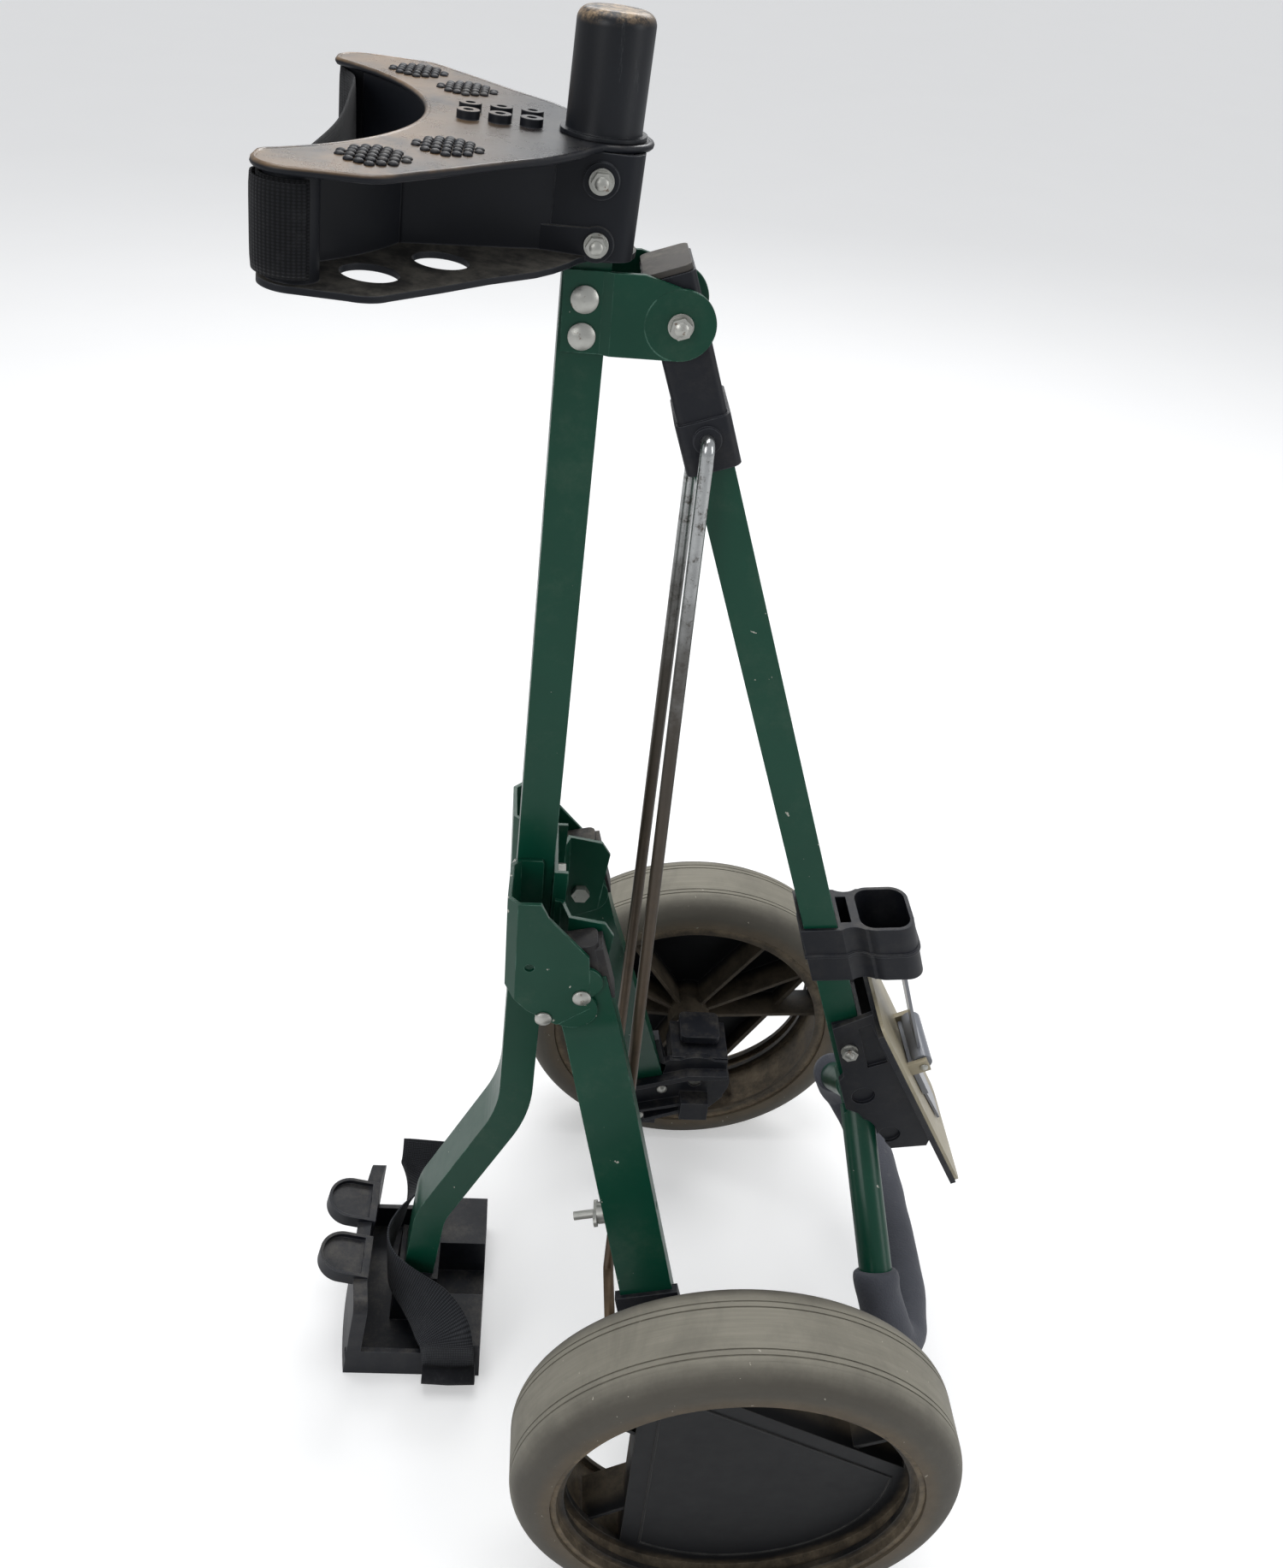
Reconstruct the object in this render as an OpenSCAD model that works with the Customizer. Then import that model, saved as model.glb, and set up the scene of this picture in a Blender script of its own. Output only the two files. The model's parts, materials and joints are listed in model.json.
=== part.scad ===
// Golf push trolley with a folding handle and a folding two-wheel undercarriage.
// Millimetres, +Z up. The origin is on the floor at the centre of the cradle's sole.
// The bag side faces -X, the user stands on the +X side, the left wheel is on -Y.

/* [Wheels] */
// Outer diameter of the tyre
tyre_d = 300; // [260:1:340]
// Width of the tyre
tyre_w = 70; // [50:1:80]
// Diameter of the rim opening inside the tyre
rim_d = 242; // [200:1:250]
// Distance between the wheel centres
track = 424; // [400:1:480]
// Diameter of the axle stub
axle_d = 12; // [10:0.5:16]

/* [Upright] */
// Front-to-back depth of the upright tube
upright_depth = 24; // [20:1:30]
// Side-to-side width of the upright tube
upright_width = 38; // [30:1:42]
// Wall of every square tube
tube_wall = 1.6; // [1.2:0.1:2.5]
// Backward lean of the long straight stretch, in degrees
upright_lean = 1.5; // [0:0.1:3]
// Height of the upper end of the upright
upright_top = 928; // [915:1:935]

/* [Handle] */
// Lean of the folded handle from straight down, in degrees
handle_lean = 18.6; // [16:0.1:20]
// Front-to-back depth of the handle tube
handle_depth = 22; // [18:1:24]
// Side-to-side width of the handle tube
handle_width = 36; // [30:1:37]
// Distance from the hinge to the lower end of the square handle tube
handle_length = 598; // [560:1:620]
// Diameter of the round tube of the grip loop
loop_d = 24; // [18:1:26]
// Outer diameter of the foam on the grip
foam_d = 34; // [30:1:38]

/* [Legs and rods] */
// Front-to-back depth of a leg tube
leg_depth = 37; // [30:1:38]
// Side-to-side thickness of a leg tube
leg_thick = 18; // [14:1:19]
// Lean of the folded leg from straight down, in degrees
leg_lean = 14.3; // [12:0.1:16]
// Outward splay of the leg below its bend, in degrees
leg_splay = 16.3; // [14:0.1:18]
// Diameter of the folding rods
rod_d = 8; // [6:0.5:9]

/* [Bag supports] */
// Radius of the bag throat in the upper bracket
throat_r = 142; // [125:1:150]
// Height of the upper bracket
bracket_h = 55; // [48:1:58]
// Half width of the lower cradle
cradle_half = 70; // [60:1:76]

/* [Hidden] */

// Gap between parts that sit against each other
fit = 0.2;
// Radial clearance of a running pin
run = 0.05;
// Overshoot of a cutting solid
cut = 1;
// Thickness of the stamped steel plates
plate = 2.5;
// Facets of small and of large round solids
fine = 48;
round_fn = 160;

paint_green = "#144b3a";
plastic_black = "#1e2129";
foam_grey = "#46484f";
zinc = "#b9bcc0";
rod_brown = "#6b5c48";
tyre_grey = "#a5a294";
card_beige = "#a39c86";
web_black = "#23242a";

wheel_r = tyre_d / 2;
wheel_y = track / 2;

// X of the wheel centres is 0 in the part modules; the sole's centre becomes the origin
cradle_front = -292;
cradle_back = -176;
sole_front = cradle_front + 8;
sole_x = (sole_front + cradle_back) / 2;

// ---- Headings and bent paths, in a plane of [across, along] -------------------------
function heading(a) = [sin(a), cos(a)];
function beside(a) = [cos(a), -sin(a)];
function angle_of(p, q) = atan2(q[0] - p[0], q[1] - p[1]);

// Samples [point, heading] round one bend of radius r at vertex v, from heading a to b
function bend(v, a, b, r, n = 8) =
    let (side = b > a ? 1 : -1,
         start = v - r * tan(abs(b - a) / 2) * heading(a),
         centre = start + r * side * beside(a))
    [for (i = [0 : n]) let (h = a + (b - a) * i / n) [centre - r * side * beside(h), h]];

// Outline of a strip of width w along a list of samples
function strip(samples, w) = concat(
    [for (s = samples) s[0] + w / 2 * beside(s[1])],
    [for (i = [len(samples) - 1 : -1 : 0]) samples[i][0] - w / 2 * beside(samples[i][1])]);

function unit(v) = v / norm(v);

// Corners of one side of a ribbon, mitred at each point
function ribbon_side(points, off) = [for (i = [0 : len(points) - 1])
    let (before = unit(points[max(i, 1)] - points[max(i, 1) - 1]),
         after = unit(points[min(i, len(points) - 2) + 1] - points[min(i, len(points) - 2)]),
         mid = unit(before + after))
    points[i] + off / (mid * before) * [-mid[1], mid[0]]];

// ---- Common solids --------------------------------------------------------------------
// Moves a finished sub-part from the wheel axis to the origin at the sole
module placed() {
    translate([-sole_x, 0, 0]) children();
}

// Round bar along Y from y0 to y1
module y_bar(d, y0, y1, fn = fine) {
    translate([0, y0, 0]) rotate([-90, 0, 0]) cylinder(d = d, h = y1 - y0, $fn = fn);
}

// Round bar along X from x0 to x1
module x_bar(d, x0, x1, fn = fine) {
    translate([x0, 0, 0]) rotate([0, 90, 0]) cylinder(d = d, h = x1 - x0, $fn = fn);
}

// Box given by its lowest and highest corners
module block(low, high) {
    translate(low) cube(high - low);
}

// Profile in XZ, given a thickness along Y from y0 to y1
module side_plate(y0, y1) {
    translate([0, y1, 0]) rotate([90, 0, 0]) linear_extrude(y1 - y0) children();
}

// Ribbon of thickness t that folds at each point of a list
module ribbon(points, t) {
    near = ribbon_side(points, t / 2);
    far = ribbon_side(points, -t / 2);
    polygon(concat(near, [for (i = [len(far) - 1 : -1 : 0]) far[i]]));
}

// Copies its child to the right side as well
module both_sides() {
    children();
    mirror([0, 1, 0]) children();
}

// Rectangle with rounded corners, centred
module rounded_rect(w, h, r) {
    square([w - 2 * r, h], center = true);
    square([w, h - 2 * r], center = true);
    for (x = [-1, 1], y = [-1, 1]) translate([x * (w / 2 - r), y * (h / 2 - r)]) circle(r, $fn = fine);
}

// Domed screw head of diameter d on top of z = 0
module pan_head(d, h) {
    intersection() {
        cylinder(d = d, h = h, $fn = fine);
        translate([0, 0, h - d * 0.8]) sphere(d * 0.8, $fn = fine);
    }
}

// Hexagon nut of width w across the flats
module hex_nut(w, h) {
    cylinder(d = w / cos(30), h = h, $fn = 6);
}

// ---- Upright ----------------------------------------------------------------------------
foot_point = [-236, 12];
kick_low = [-219.5, 134.5];
kick_high = [-156.7, 263];
kick_low_r = 70;
kick_high_r = 120;
foot_heading = angle_of(foot_point, kick_low);
kick_heading = angle_of(kick_low, kick_high);
top_point = kick_high + (upright_top - kick_high[1]) / cos(upright_lean) * heading(upright_lean);

function upright_samples(from_z, to_top) = concat(
    [[foot_point + from_z * heading(foot_heading), foot_heading]],
    bend(kick_low, foot_heading, kick_heading, kick_low_r),
    bend(kick_high, kick_heading, upright_lean, kick_high_r),
    [[top_point + to_top * heading(upright_lean), upright_lean]]);

// X of the upright's centreline at height z on the long straight stretch
function upright_x(z) = kick_high[0] + (z - kick_high[1]) * tan(upright_lean);

// Frame with its origin on the upright's centreline at height z, +Z along the tube
module on_upright(z) {
    translate([upright_x(z), 0, z]) rotate([0, upright_lean, 0]) children();
}

bracket_bolt_z = [891.5, 920.5];
bracket_bolt_x = 3;
rivet_z = [845.5, 864];
web_bolt_z = [424, 480];
ear_bolt_z = 452;
bolt_d = 6;
rivet_d = 8;
cradle_bolt_h = 26;

module upright_tube() {
    color(paint_green) placed() difference() {
        side_plate(-upright_width / 2, upright_width / 2)
            polygon(strip(upright_samples(0, 0), upright_depth));
        side_plate(-upright_width / 2 + tube_wall, upright_width / 2 - tube_wall)
            polygon(strip(upright_samples(-cut, cut), upright_depth - 2 * tube_wall));
        for (z = bracket_bolt_z) on_upright(z) translate([bracket_bolt_x, 0, 0])
            y_bar(bolt_d + 2 * fit, -30, 30);
        for (z = rivet_z) on_upright(z) y_bar(rivet_d + 2 * fit, -30, 30);
        for (z = web_bolt_z) on_upright(z) x_bar(bolt_d + 2 * fit, -20, 20);
        on_upright(ear_bolt_z) y_bar(bolt_d + 2 * fit, -30, 30);
        on_foot(cradle_bolt_h) y_bar(bolt_d + 2 * fit, -30, 30);
    }
}

// Frame on the foot of the upright, h above its lower end, +Z along the tube
module on_foot(h) {
    translate([foot_point[0], 0, foot_point[1]]) rotate([0, foot_heading, 0]) translate([0, 0, h]) children();
}

// ---- Upper bracket, in the frame of the upright at the bracket's lower face ---------------
bracket_z = 881;
bracket_tilt = 2;
lower_tilt = 1.8;
lower_z = 1.8;
post_x = 1;
rear_r = 23;
shelf = 3;
web = 3;
throat_x = -82.5 - throat_r;
kink = [-99, 120];
kink_r = 17;
tip = [-126, 124];
tip_r = 14.5;
tip_post_r = 11.5;
web_meet = [-88, 50];
housing_corner = [-20, 24.5];
housing_rear = 21.5;
housing_half = 25;
housing_r = 10;
hole_places = [[-96, 104], [-68, 70]];
hole_d = 26;
tee_places = [for (x = [-63.5, -48.5, -33.5], y = [-2, 16]) [x, y]];
tee_d = 11;
tee_bore = 5;
tee_h = 4;

module on_bracket() {
    on_upright(bracket_z) rotate([0, bracket_tilt, 0]) children();
}

// The lower shelf rises a little more steeply towards the tips than the upper one
module on_lower_shelf() {
    translate([0, 0, lower_z]) rotate([0, lower_tilt, 0]) children();
}

// Half of the shelf outline, left as a full-depth wing before the throat is cut
module wing_outline() {
    polygon([[post_x, rear_r - 1], [-5, 31], [-10, 42], [-17, 54], [-25, 65], [-45, 85], [-65, 108],
        kink + kink_r * [0.72, 0.68], kink + kink_r * [-0.08, 0.99], tip + tip_r * [0.08, 0.99],
        tip + tip_r * [-0.99, 0.08], tip + [-tip_r + 0.5, -20], [-110, -1], [post_x, -1]]);
    translate(kink) circle(kink_r, $fn = fine);
    translate(tip) circle(tip_r, $fn = fine);
}

module shelf_outline() {
    difference() {
        union() {
            wing_outline();
            mirror([0, 1]) wing_outline();
            translate([post_x, 0]) circle(rear_r, $fn = fine);
        }
        translate([throat_x, 0]) circle(throat_r, $fn = round_fn);
    }
}

// Straight web wall between two points of the plan
module web_wall(p, q, t) {
    translate(p) rotate(90 - angle_of(p, q)) translate([0, -t / 2]) square([norm(q - p), t]);
    for (c = [p, q]) translate(c) circle(t / 2, $fn = 24);
}

// Plan of the walls: throat wall, tip posts, slanted webs and the housing of the upright
module web_outline() {
    intersection() {
        translate([throat_x, 0]) difference() {
            circle(throat_r + web, $fn = round_fn);
            circle(throat_r, $fn = round_fn);
        }
        translate([-135, -101]) square([80, 202]);
    }
    for (s = [1, -1]) {
        translate([tip[0], s * tip[1]]) difference() {
            circle(tip_post_r, $fn = fine);
            circle(tip_post_r - web, $fn = fine);
        }
        web_wall([-118, s * 117], [-122, s * 100.5], web);
        web_wall([web_meet[0], s * web_meet[1]], [housing_corner[0], s * (housing_corner[1] - web / 2)], web);
    }
    difference() {
        housing_plan(0);
        housing_plan(web);
    }
    for (x = [-1, 1]) translate([x * (upright_depth / 2 + fit + web / 2), 0])
        square([web, 2 * housing_half - web], center = true);
}

// Rounded plan of the housing, inset by t
module housing_plan(t) {
    low = housing_corner[0] + t;
    high = housing_rear - t;
    half = housing_half - t;
    r = housing_r - t;
    translate([low, -half]) square([high - r - low, 2 * half]);
    translate([low, -half + r]) square([high - low, 2 * (half - r)]);
    for (s = [-1, 1]) translate([high - r, s * (half - r)]) circle(r, $fn = fine);
}

module upper_bracket() {
    color(plastic_black) placed() on_bracket() difference() {
        union() {
            on_lower_shelf() linear_extrude(shelf) shelf_outline();
            translate([0, 0, bracket_h - shelf]) linear_extrude(shelf) shelf_outline();
            difference() {
                translate([0, 0, shelf]) linear_extrude(bracket_h - 2 * shelf) web_outline();
                on_lower_shelf() block([-200, -200, -60], [60, 200, shelf / 2]);
            }
            for (p = tee_places) translate([p[0], p[1], bracket_h])
                cylinder(d = tee_d, h = tee_h, $fn = fine);
            both_sides() bolt_bosses();
        }
        on_own_upright() translate([0, 0, -20])
            linear_extrude(upright_top - bracket_z + 20 + fit)
                square([upright_depth + 2 * fit, upright_width + 2 * fit], center = true);
        for (s = [-1, 1], p = hole_places) translate([p[0], s * p[1], -cut])
            cylinder(d = hole_d, h = 12, $fn = fine);
        for (p = tee_places) translate([p[0], p[1], bracket_h - shelf - cut])
            cylinder(d = tee_bore, h = 20, $fn = fine);
        bracket_bolt_line() y_bar(bolt_d + 2 * fit, -40, 40);
    }
}

// Undoes the bracket's own tilt, so that what follows lines up with the upright
module on_own_upright() {
    rotate([0, -bracket_tilt, 0]) children();
}

// Repeats its child on the axis of each bracket bolt, in the frame of the bracket
module bracket_bolt_line() {
    on_own_upright() for (z = bracket_bolt_z)
        translate([bracket_bolt_x, 0, (z - bracket_z) / cos(upright_lean)]) children();
}

boss_out = 26.5;

// Round bolt bosses on the left side of the housing; the lower one runs on as a raised tongue
module bolt_bosses() {
    bracket_bolt_line() y_bar(17, -boss_out, -upright_width / 2 - fit);
    on_own_upright() translate([bracket_bolt_x, 0, bracket_bolt_z[0] - bracket_z])
        block([-30, -boss_out, -7.5], [0, -housing_half + 1, 7.5]);
}

cap_d = 37;
cap_h = 54;
cap_dome = 6;
cap_flange = 2.5;

module post_cap() {
    color(plastic_black) placed() on_bracket() translate([post_x, 0, bracket_h + fit])
        rotate_extrude($fn = round_fn) {
            square([cap_d / 2 + cap_flange, 2]);
            square([cap_d / 2, cap_h - cap_dome]);
            translate([0, cap_h - cap_dome]) square([cap_d / 2 - cap_dome, cap_dome]);
            translate([cap_d / 2 - cap_dome, cap_h - cap_dome]) intersection() {
                circle(cap_dome, $fn = fine);
                square(cap_dome);
            }
        }
}

// Bolt along Y with a washer and nut at each end, half_grip from the middle to each washer
module cross_bolt(d, half_grip, head_d, nut_w) {
    y_bar(d, -half_grip - 1, half_grip + 1);
    both_sides() translate([0, -half_grip, 0]) rotate([90, 0, 0]) {
        cylinder(d = head_d, h = 1.2, $fn = fine);
        translate([0, 0, 1.2]) hex_nut(nut_w, 4.2);
        translate([0, 0, 5.4]) pan_head(nut_w * 0.72, 1.6);
    }
}

module bracket_bolts() {
    color(zinc) placed() for (z = bracket_bolt_z) on_upright(z) translate([bracket_bolt_x, 0, 0])
        cross_bolt(bolt_d, boss_out + fit, 12, 9);
}

// ---- Hinge of the handle ---------------------------------------------------------------------
hinge_point = [-92.5, 854];
hinge_plate_in = upright_width / 2 + fit;
sleeve_half = 21;
hinge_out = sleeve_half + 0.6;
hinge_bolt_d = 8;

// Frame on the handle: origin at the hinge, +Z down the folded handle, +X towards the upright
module on_handle(s = 0) {
    translate([hinge_point[0], 0, hinge_point[1]]) rotate([0, 180 - handle_lean, 0])
        translate([0, 0, s]) children();
}

hinge_ear_r = 18;

module hinge_profile() {
    translate([hinge_point[0], hinge_point[1]]) circle(hinge_ear_r, $fn = fine);
    polygon([[-152, 837], [-152, 878], [-112, 878], [-92.5, 872], [-92.5, 836]]);
}

module hinge_plate(s) {
    color(paint_green) placed() difference() {
        intersection() {
            translate([0, 0, 830]) linear_extrude(55) ribbon([
                [-152, s * (hinge_plate_in + plate / 2)], [-132, s * (hinge_plate_in + plate / 2)],
                [-127, s * (hinge_out + plate / 2)], [-70, s * (hinge_out + plate / 2)]], plate);
            side_plate(-40, 40) hinge_profile();
        }
        for (z = rivet_z) on_upright(z) y_bar(rivet_d + 2 * fit, -40, 40);
        on_handle() y_bar(hinge_bolt_d + 2 * run, -40, 40);
    }
}

module hinge_plate_left() {
    hinge_plate(-1);
}

module hinge_plate_right() {
    hinge_plate(1);
}

rivet_half = hinge_plate_in + plate + fit;

module hinge_rivets() {
    color(zinc) placed() for (z = rivet_z) on_upright(z) {
        y_bar(rivet_d, -rivet_half - 1, rivet_half + 1);
        both_sides() translate([0, -rivet_half, 0]) rotate([90, 0, 0]) pan_head(14, 3.4);
    }
}

module hinge_bolt() {
    color(zinc) placed() on_handle() cross_bolt(hinge_bolt_d, hinge_out + plate + fit, 13, 10);
}

// ---- Mid bracket ---------------------------------------------------------------------------
leg_pivot = [-117, 428];
leg_y = 52;
ear_gap = leg_thick / 2 + 0.6;
ear_in = leg_y - ear_gap - plate;
ear_out = leg_y + ear_gap + plate;
stop_place = [-141, 408];
pivot_d = 8;
stop_d = 6;
web_x = upright_depth / 2 + fit;

module on_leg_pivot() {
    translate([leg_pivot[0], 0, leg_pivot[1]]) children();
}

// Centre plate behind the upright, with its upper and lower bolts
module mid_web_plate() {
    color(paint_green) placed() on_upright(ear_bolt_z) difference() {
        union() {
            block([web_x, -26, -46], [web_x + plate, 26, 48]);
            both_sides() block([web_x, 26 - plate, -46], [web_x + 9, 26, 48]);
        }
        for (z = web_bolt_z) translate([0, 0, (z - ear_bolt_z) / cos(upright_lean)])
            x_bar(bolt_d + 2 * fit, -30, 30);
    }
}

module web_bolts() {
    color(zinc) placed() for (z = web_bolt_z) on_upright(z) {
        x_bar(bolt_d, -upright_depth / 2 - 1, web_x + plate + 1);
        translate([-upright_depth / 2 - fit, 0, 0]) rotate([0, -90, 0]) pan_head(13, 3.2);
        translate([web_x + plate + fit, 0, 0]) rotate([0, 90, 0]) hex_nut(10, 6);
    }
}

// Side outline of the outer ear, in XZ
module outer_ear_profile() {
    polygon([[-168, 505], [-146, 505], [-141, 494], [-114, 462], [-111, 418], [-132, 402],
        [-152, 414], [-168, 432]]);
    translate([-117, 440]) circle(13, $fn = fine);
    translate([-122, 416]) circle(16, $fn = fine);
}

module inner_ear_profile() {
    polygon([[-140, 479], [-104, 472], [-98, 462], [-104, 412], [-122, 404], [-140, 410]]);
    translate([-113, 425]) circle(16, $fn = fine);
}

// Stamped plate that starts beside the upright and flares out to the outer ear
module outer_ear(s) {
    near = upright_width / 2 + fit + plate / 2;
    far = ear_out - plate / 2;
    color(paint_green) placed() difference() {
        intersection() {
            translate([0, 0, 395]) linear_extrude(115)
                ribbon([[-145, s * near], [-160, s * near], [-165, s * (near + 5)], [-166, s * (far - 6)],
                    [-160, s * far], [-95, s * far]], plate);
            side_plate(-80, 80) outer_ear_profile();
        }
        ear_holes();
        on_upright(ear_bolt_z) y_bar(bolt_d + 2 * fit, -80, 80);
    }
}

module inner_ear(s) {
    start = 26 + plate / 2;
    far = ear_in + plate / 2;
    color(paint_green) placed() difference() {
        intersection() {
            translate([0, 0, 395]) linear_extrude(115)
                ribbon([[-137, s * start], [-132, s * start], [-127, s * far], [-92, s * far]], plate);
            side_plate(-80, 80) inner_ear_profile();
        }
        ear_holes();
    }
}

module ear_bolt() {
    color(zinc) placed() on_upright(ear_bolt_z)
        cross_bolt(bolt_d, upright_width / 2 + fit + plate + fit, 12, 9);
}

module ear_holes() {
    on_leg_pivot() y_bar(pivot_d + 2 * run, -80, 80);
    translate([stop_place[0], 0, stop_place[1]]) y_bar(stop_d + 2 * fit, -80, 80);
}

module outer_ear_left() {
    outer_ear(-1);
}

module outer_ear_right() {
    outer_ear(1);
}

module inner_ear_left() {
    inner_ear(-1);
}

module inner_ear_right() {
    inner_ear(1);
}

// Screw along Y from the inner to the outer face of one ear pair
module ear_screw(d, y_in, y_out, head) {
    y_bar(d, -y_out - 1, -y_in + 1);
    translate([0, -y_out - fit, 0]) rotate([90, 0, 0]) pan_head(head, 3.4);
    translate([0, -y_in + fit, 0]) rotate([-90, 0, 0]) hex_nut(head * 0.95, 5);
}

module leg_pivot_bolts() {
    color(zinc) placed() both_sides() on_leg_pivot() ear_screw(pivot_d, ear_in, ear_out, 12);
}

module stop_pins() {
    color(zinc) placed() both_sides() translate([stop_place[0], 0, stop_place[1]]) {
        y_bar(stop_d, -ear_out - 1, -ear_out + plate + 6);
        translate([0, -ear_out - fit, 0]) rotate([90, 0, 0]) pan_head(11, 3.2);
        y_bar(11, -ear_out + plate + fit, -ear_out + plate + 6);
    }
}

// ---- Lower cradle ------------------------------------------------------------------------------
cradle_floor = 4;
cradle_wall = 4;
deck_z = 42;
lip_h = 90;
lobe_y = 26;
lobe_r = 19;
lobe_len = 22;
lobe_z = 84;

// Tall front lip: a slice of a large hollow cylinder, leaning with the foot of the upright
module front_lip() {
    lip_r = 400;
    lip_t = 11;
    intersection() {
        translate([cradle_front + 3 + lip_r, 0, 0]) rotate([0, foot_heading, 0]) translate([0, 0, -60])
            difference() {
                cylinder(r = lip_r, h = 180, $fn = round_fn);
                translate([0, 0, -cut]) cylinder(r = lip_r - lip_t, h = 190, $fn = round_fn);
            }
        union() {
            block([cradle_front - 20, -cradle_half + 10, 0], [-240, cradle_half - 10, lip_h]);
            block([cradle_front - 20, -cradle_half, 0], [-240, cradle_half, lip_h - 10]);
            both_sides() translate([0, -cradle_half + 10, lip_h - 10]) x_bar(20, cradle_front - 20, -240);
        }
    }
}

// Rounded lobe that carries the base of the bag, a shallow scoop with a thin raised rim
module lobe() {
    translate([-268, lobe_y, lobe_z]) rotate([0, 14, 0]) difference() {
        union() {
            translate([-lobe_len, 0, -4]) cylinder(r = lobe_r, h = 12, $fn = fine);
            block([-lobe_len, -lobe_r, -4], [0, lobe_r, 8]);
        }
        translate([-lobe_len, 0, 4]) cylinder(r = lobe_r - 2.5, h = 12, $fn = fine);
        block([-lobe_len, -lobe_r + 2.5, 4], [-6, lobe_r - 2.5, 14]);
    }
}

module lower_cradle() {
    color(plastic_black) placed() difference() {
        union() {
            block([sole_front, -cradle_half, 0], [cradle_back, cradle_half, cradle_floor]);
            both_sides() block([sole_front, -cradle_half, 0], [-222, -cradle_half + cradle_wall, 30]);
            front_lip();
            both_sides() lobe();
            both_sides() wing_deck();
            on_foot(0) block([-upright_depth / 2 - fit - cradle_wall, -24, -10],
                [upright_depth / 2 + fit + cradle_wall, 24, 52]);
        }
        on_foot(0) block([-upright_depth / 2 - fit, -upright_width / 2 - fit, -fit],
            [upright_depth / 2 + fit, upright_width / 2 + fit, 60]);
        on_foot(cradle_bolt_h) y_bar(bolt_d + 2 * fit, -100, 100);
        on_foot(cradle_bolt_h) both_sides() y_bar(14, -100, -24 - fit);
        block([-400, -200, -40], [0, 200, 0]);
    }
}

// Hollow deck beside the foot of the upright
module wing_deck() {
    difference() {
        block([-222, 24, 0], [cradle_back, cradle_half, deck_z]);
        block([-222 + cradle_wall, 24 + cradle_wall, cradle_floor],
            [cradle_back - cradle_wall, cradle_half - cradle_wall, deck_z - cradle_wall]);
        block([-222 + 14, cradle_half - 8, 14], [cradle_back - 14, cradle_half + 1, 28]);
    }
}

module cradle_bolt() {
    color(zinc) placed() on_foot(cradle_bolt_h) {
        y_bar(bolt_d, -26, 26);
        both_sides() translate([0, -24 - fit, 0]) rotate([90, 0, 0]) pan_head(12, 4);
    }
}

// ---- Straps ------------------------------------------------------------------------------------
strap_t = 2.5;

// Radius of the strap's path round a tip post, and its half of the way across the mouth
strap_wrap_r = 13.4;
strap_half = concat([for (a = [50 : 20 : 210]) tip + strap_wrap_r * [cos(a), sin(a)]],
    [[-129, 98], [-127, 60]]);

// Band round the tips of the fork and across its mouth
module upper_strap() {
    far = [for (i = [len(strap_half) - 1 : -1 : 0]) [strap_half[i][0], -strap_half[i][1]]];
    color(web_black) placed() on_bracket() translate([0, 0, 10.5]) linear_extrude(40)
        ribbon(concat(strap_half, far), strap_t);
}

// Band round the front of the foot, with its ends hanging at the sides of the decks
module lower_strap() {
    color(web_black) placed() {
        translate([0, 0, deck_z + 1]) linear_extrude(32)
            ribbon([[-203, -74], [-214, -40], [-252, -26], [-256, 0], [-252, 26], [-214, 40], [-203, 74]],
                strap_t);
        both_sides() block([-222, -cradle_half - 5.5, 6], [-184, -cradle_half - 1.5, deck_z + 34]);
    }
}

// ---- Handle --------------------------------------------------------------------------------------
sleeve_top = -24;
sleeve_end = 78;
sleeve_depth = 27;
collar_s = 52;
rod_pin_s = 62.8;
rod_top_y = 24.8;
rod_hole_d = rod_d + 2 * run;
handle_tube_top = -14;

module handle_tube() {
    color(paint_green) placed() on_handle() difference() {
        block([-handle_depth / 2, -handle_width / 2, handle_tube_top],
            [handle_depth / 2, handle_width / 2, handle_length]);
        block([-handle_depth / 2 + tube_wall, -handle_width / 2 + tube_wall, handle_tube_top - cut],
            [handle_depth / 2 - tube_wall, handle_width / 2 - tube_wall, handle_length + cut]);
        y_bar(12 + 2 * fit, -30, 30);
        translate([0, 0, rod_pin_s]) y_bar(rod_d + 4, -30, 30);
        translate([0, 0, holder_screw_s]) x_bar(4.4, -30, 0);
        translate([0, 0, clamp_bolt_s]) y_bar(bolt_d + 2 * fit, -30, 30);
    }
}

module hinge_sleeve() {
    color(plastic_black) placed() on_handle() difference() {
        union() {
            translate([0, 0, sleeve_top]) linear_extrude(sleeve_end - sleeve_top)
                rounded_rect(sleeve_depth, 2 * sleeve_half, 4);
            translate([0, 0, collar_s]) linear_extrude(sleeve_end + 3 - collar_s)
                rounded_rect(sleeve_depth + 3, 2 * sleeve_half + 3, 5);
            translate([0, 0, rod_pin_s]) both_sides() y_bar(15, -sleeve_half - 3.4, -sleeve_half);
        }
        translate([0, 0, sleeve_top - cut]) linear_extrude(120)
            square([handle_depth + 2 * fit, handle_width + 2 * fit], center = true);
        y_bar(12 + 2 * fit, -40, 40);
        translate([0, 0, rod_pin_s]) y_bar(rod_hole_d, -40, 40);
    }
}

module sleeve_plug() {
    color("#6f6b66") placed() on_handle() {
        translate([0, 0, sleeve_top - 3 - fit]) linear_extrude(3)
            rounded_rect(sleeve_depth - 2, 2 * sleeve_half - 2, 4);
        translate([0, 0, sleeve_top - fit]) linear_extrude(10)
            rounded_rect(handle_depth - 1, handle_width - 1, 3);
    }
}

module hinge_bush() {
    color(zinc) placed() on_handle() difference() {
        y_bar(12, -sleeve_half, sleeve_half);
        y_bar(hinge_bolt_d + 2 * run, -40, 40);
    }
}

// Grip loop: [s, y, n] stations on the left half, n towards the upright
loop_yoke = handle_length + fit;
arm_start = [4, -9, loop_yoke + 14];
arm_end = [19, -104, 708];

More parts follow.
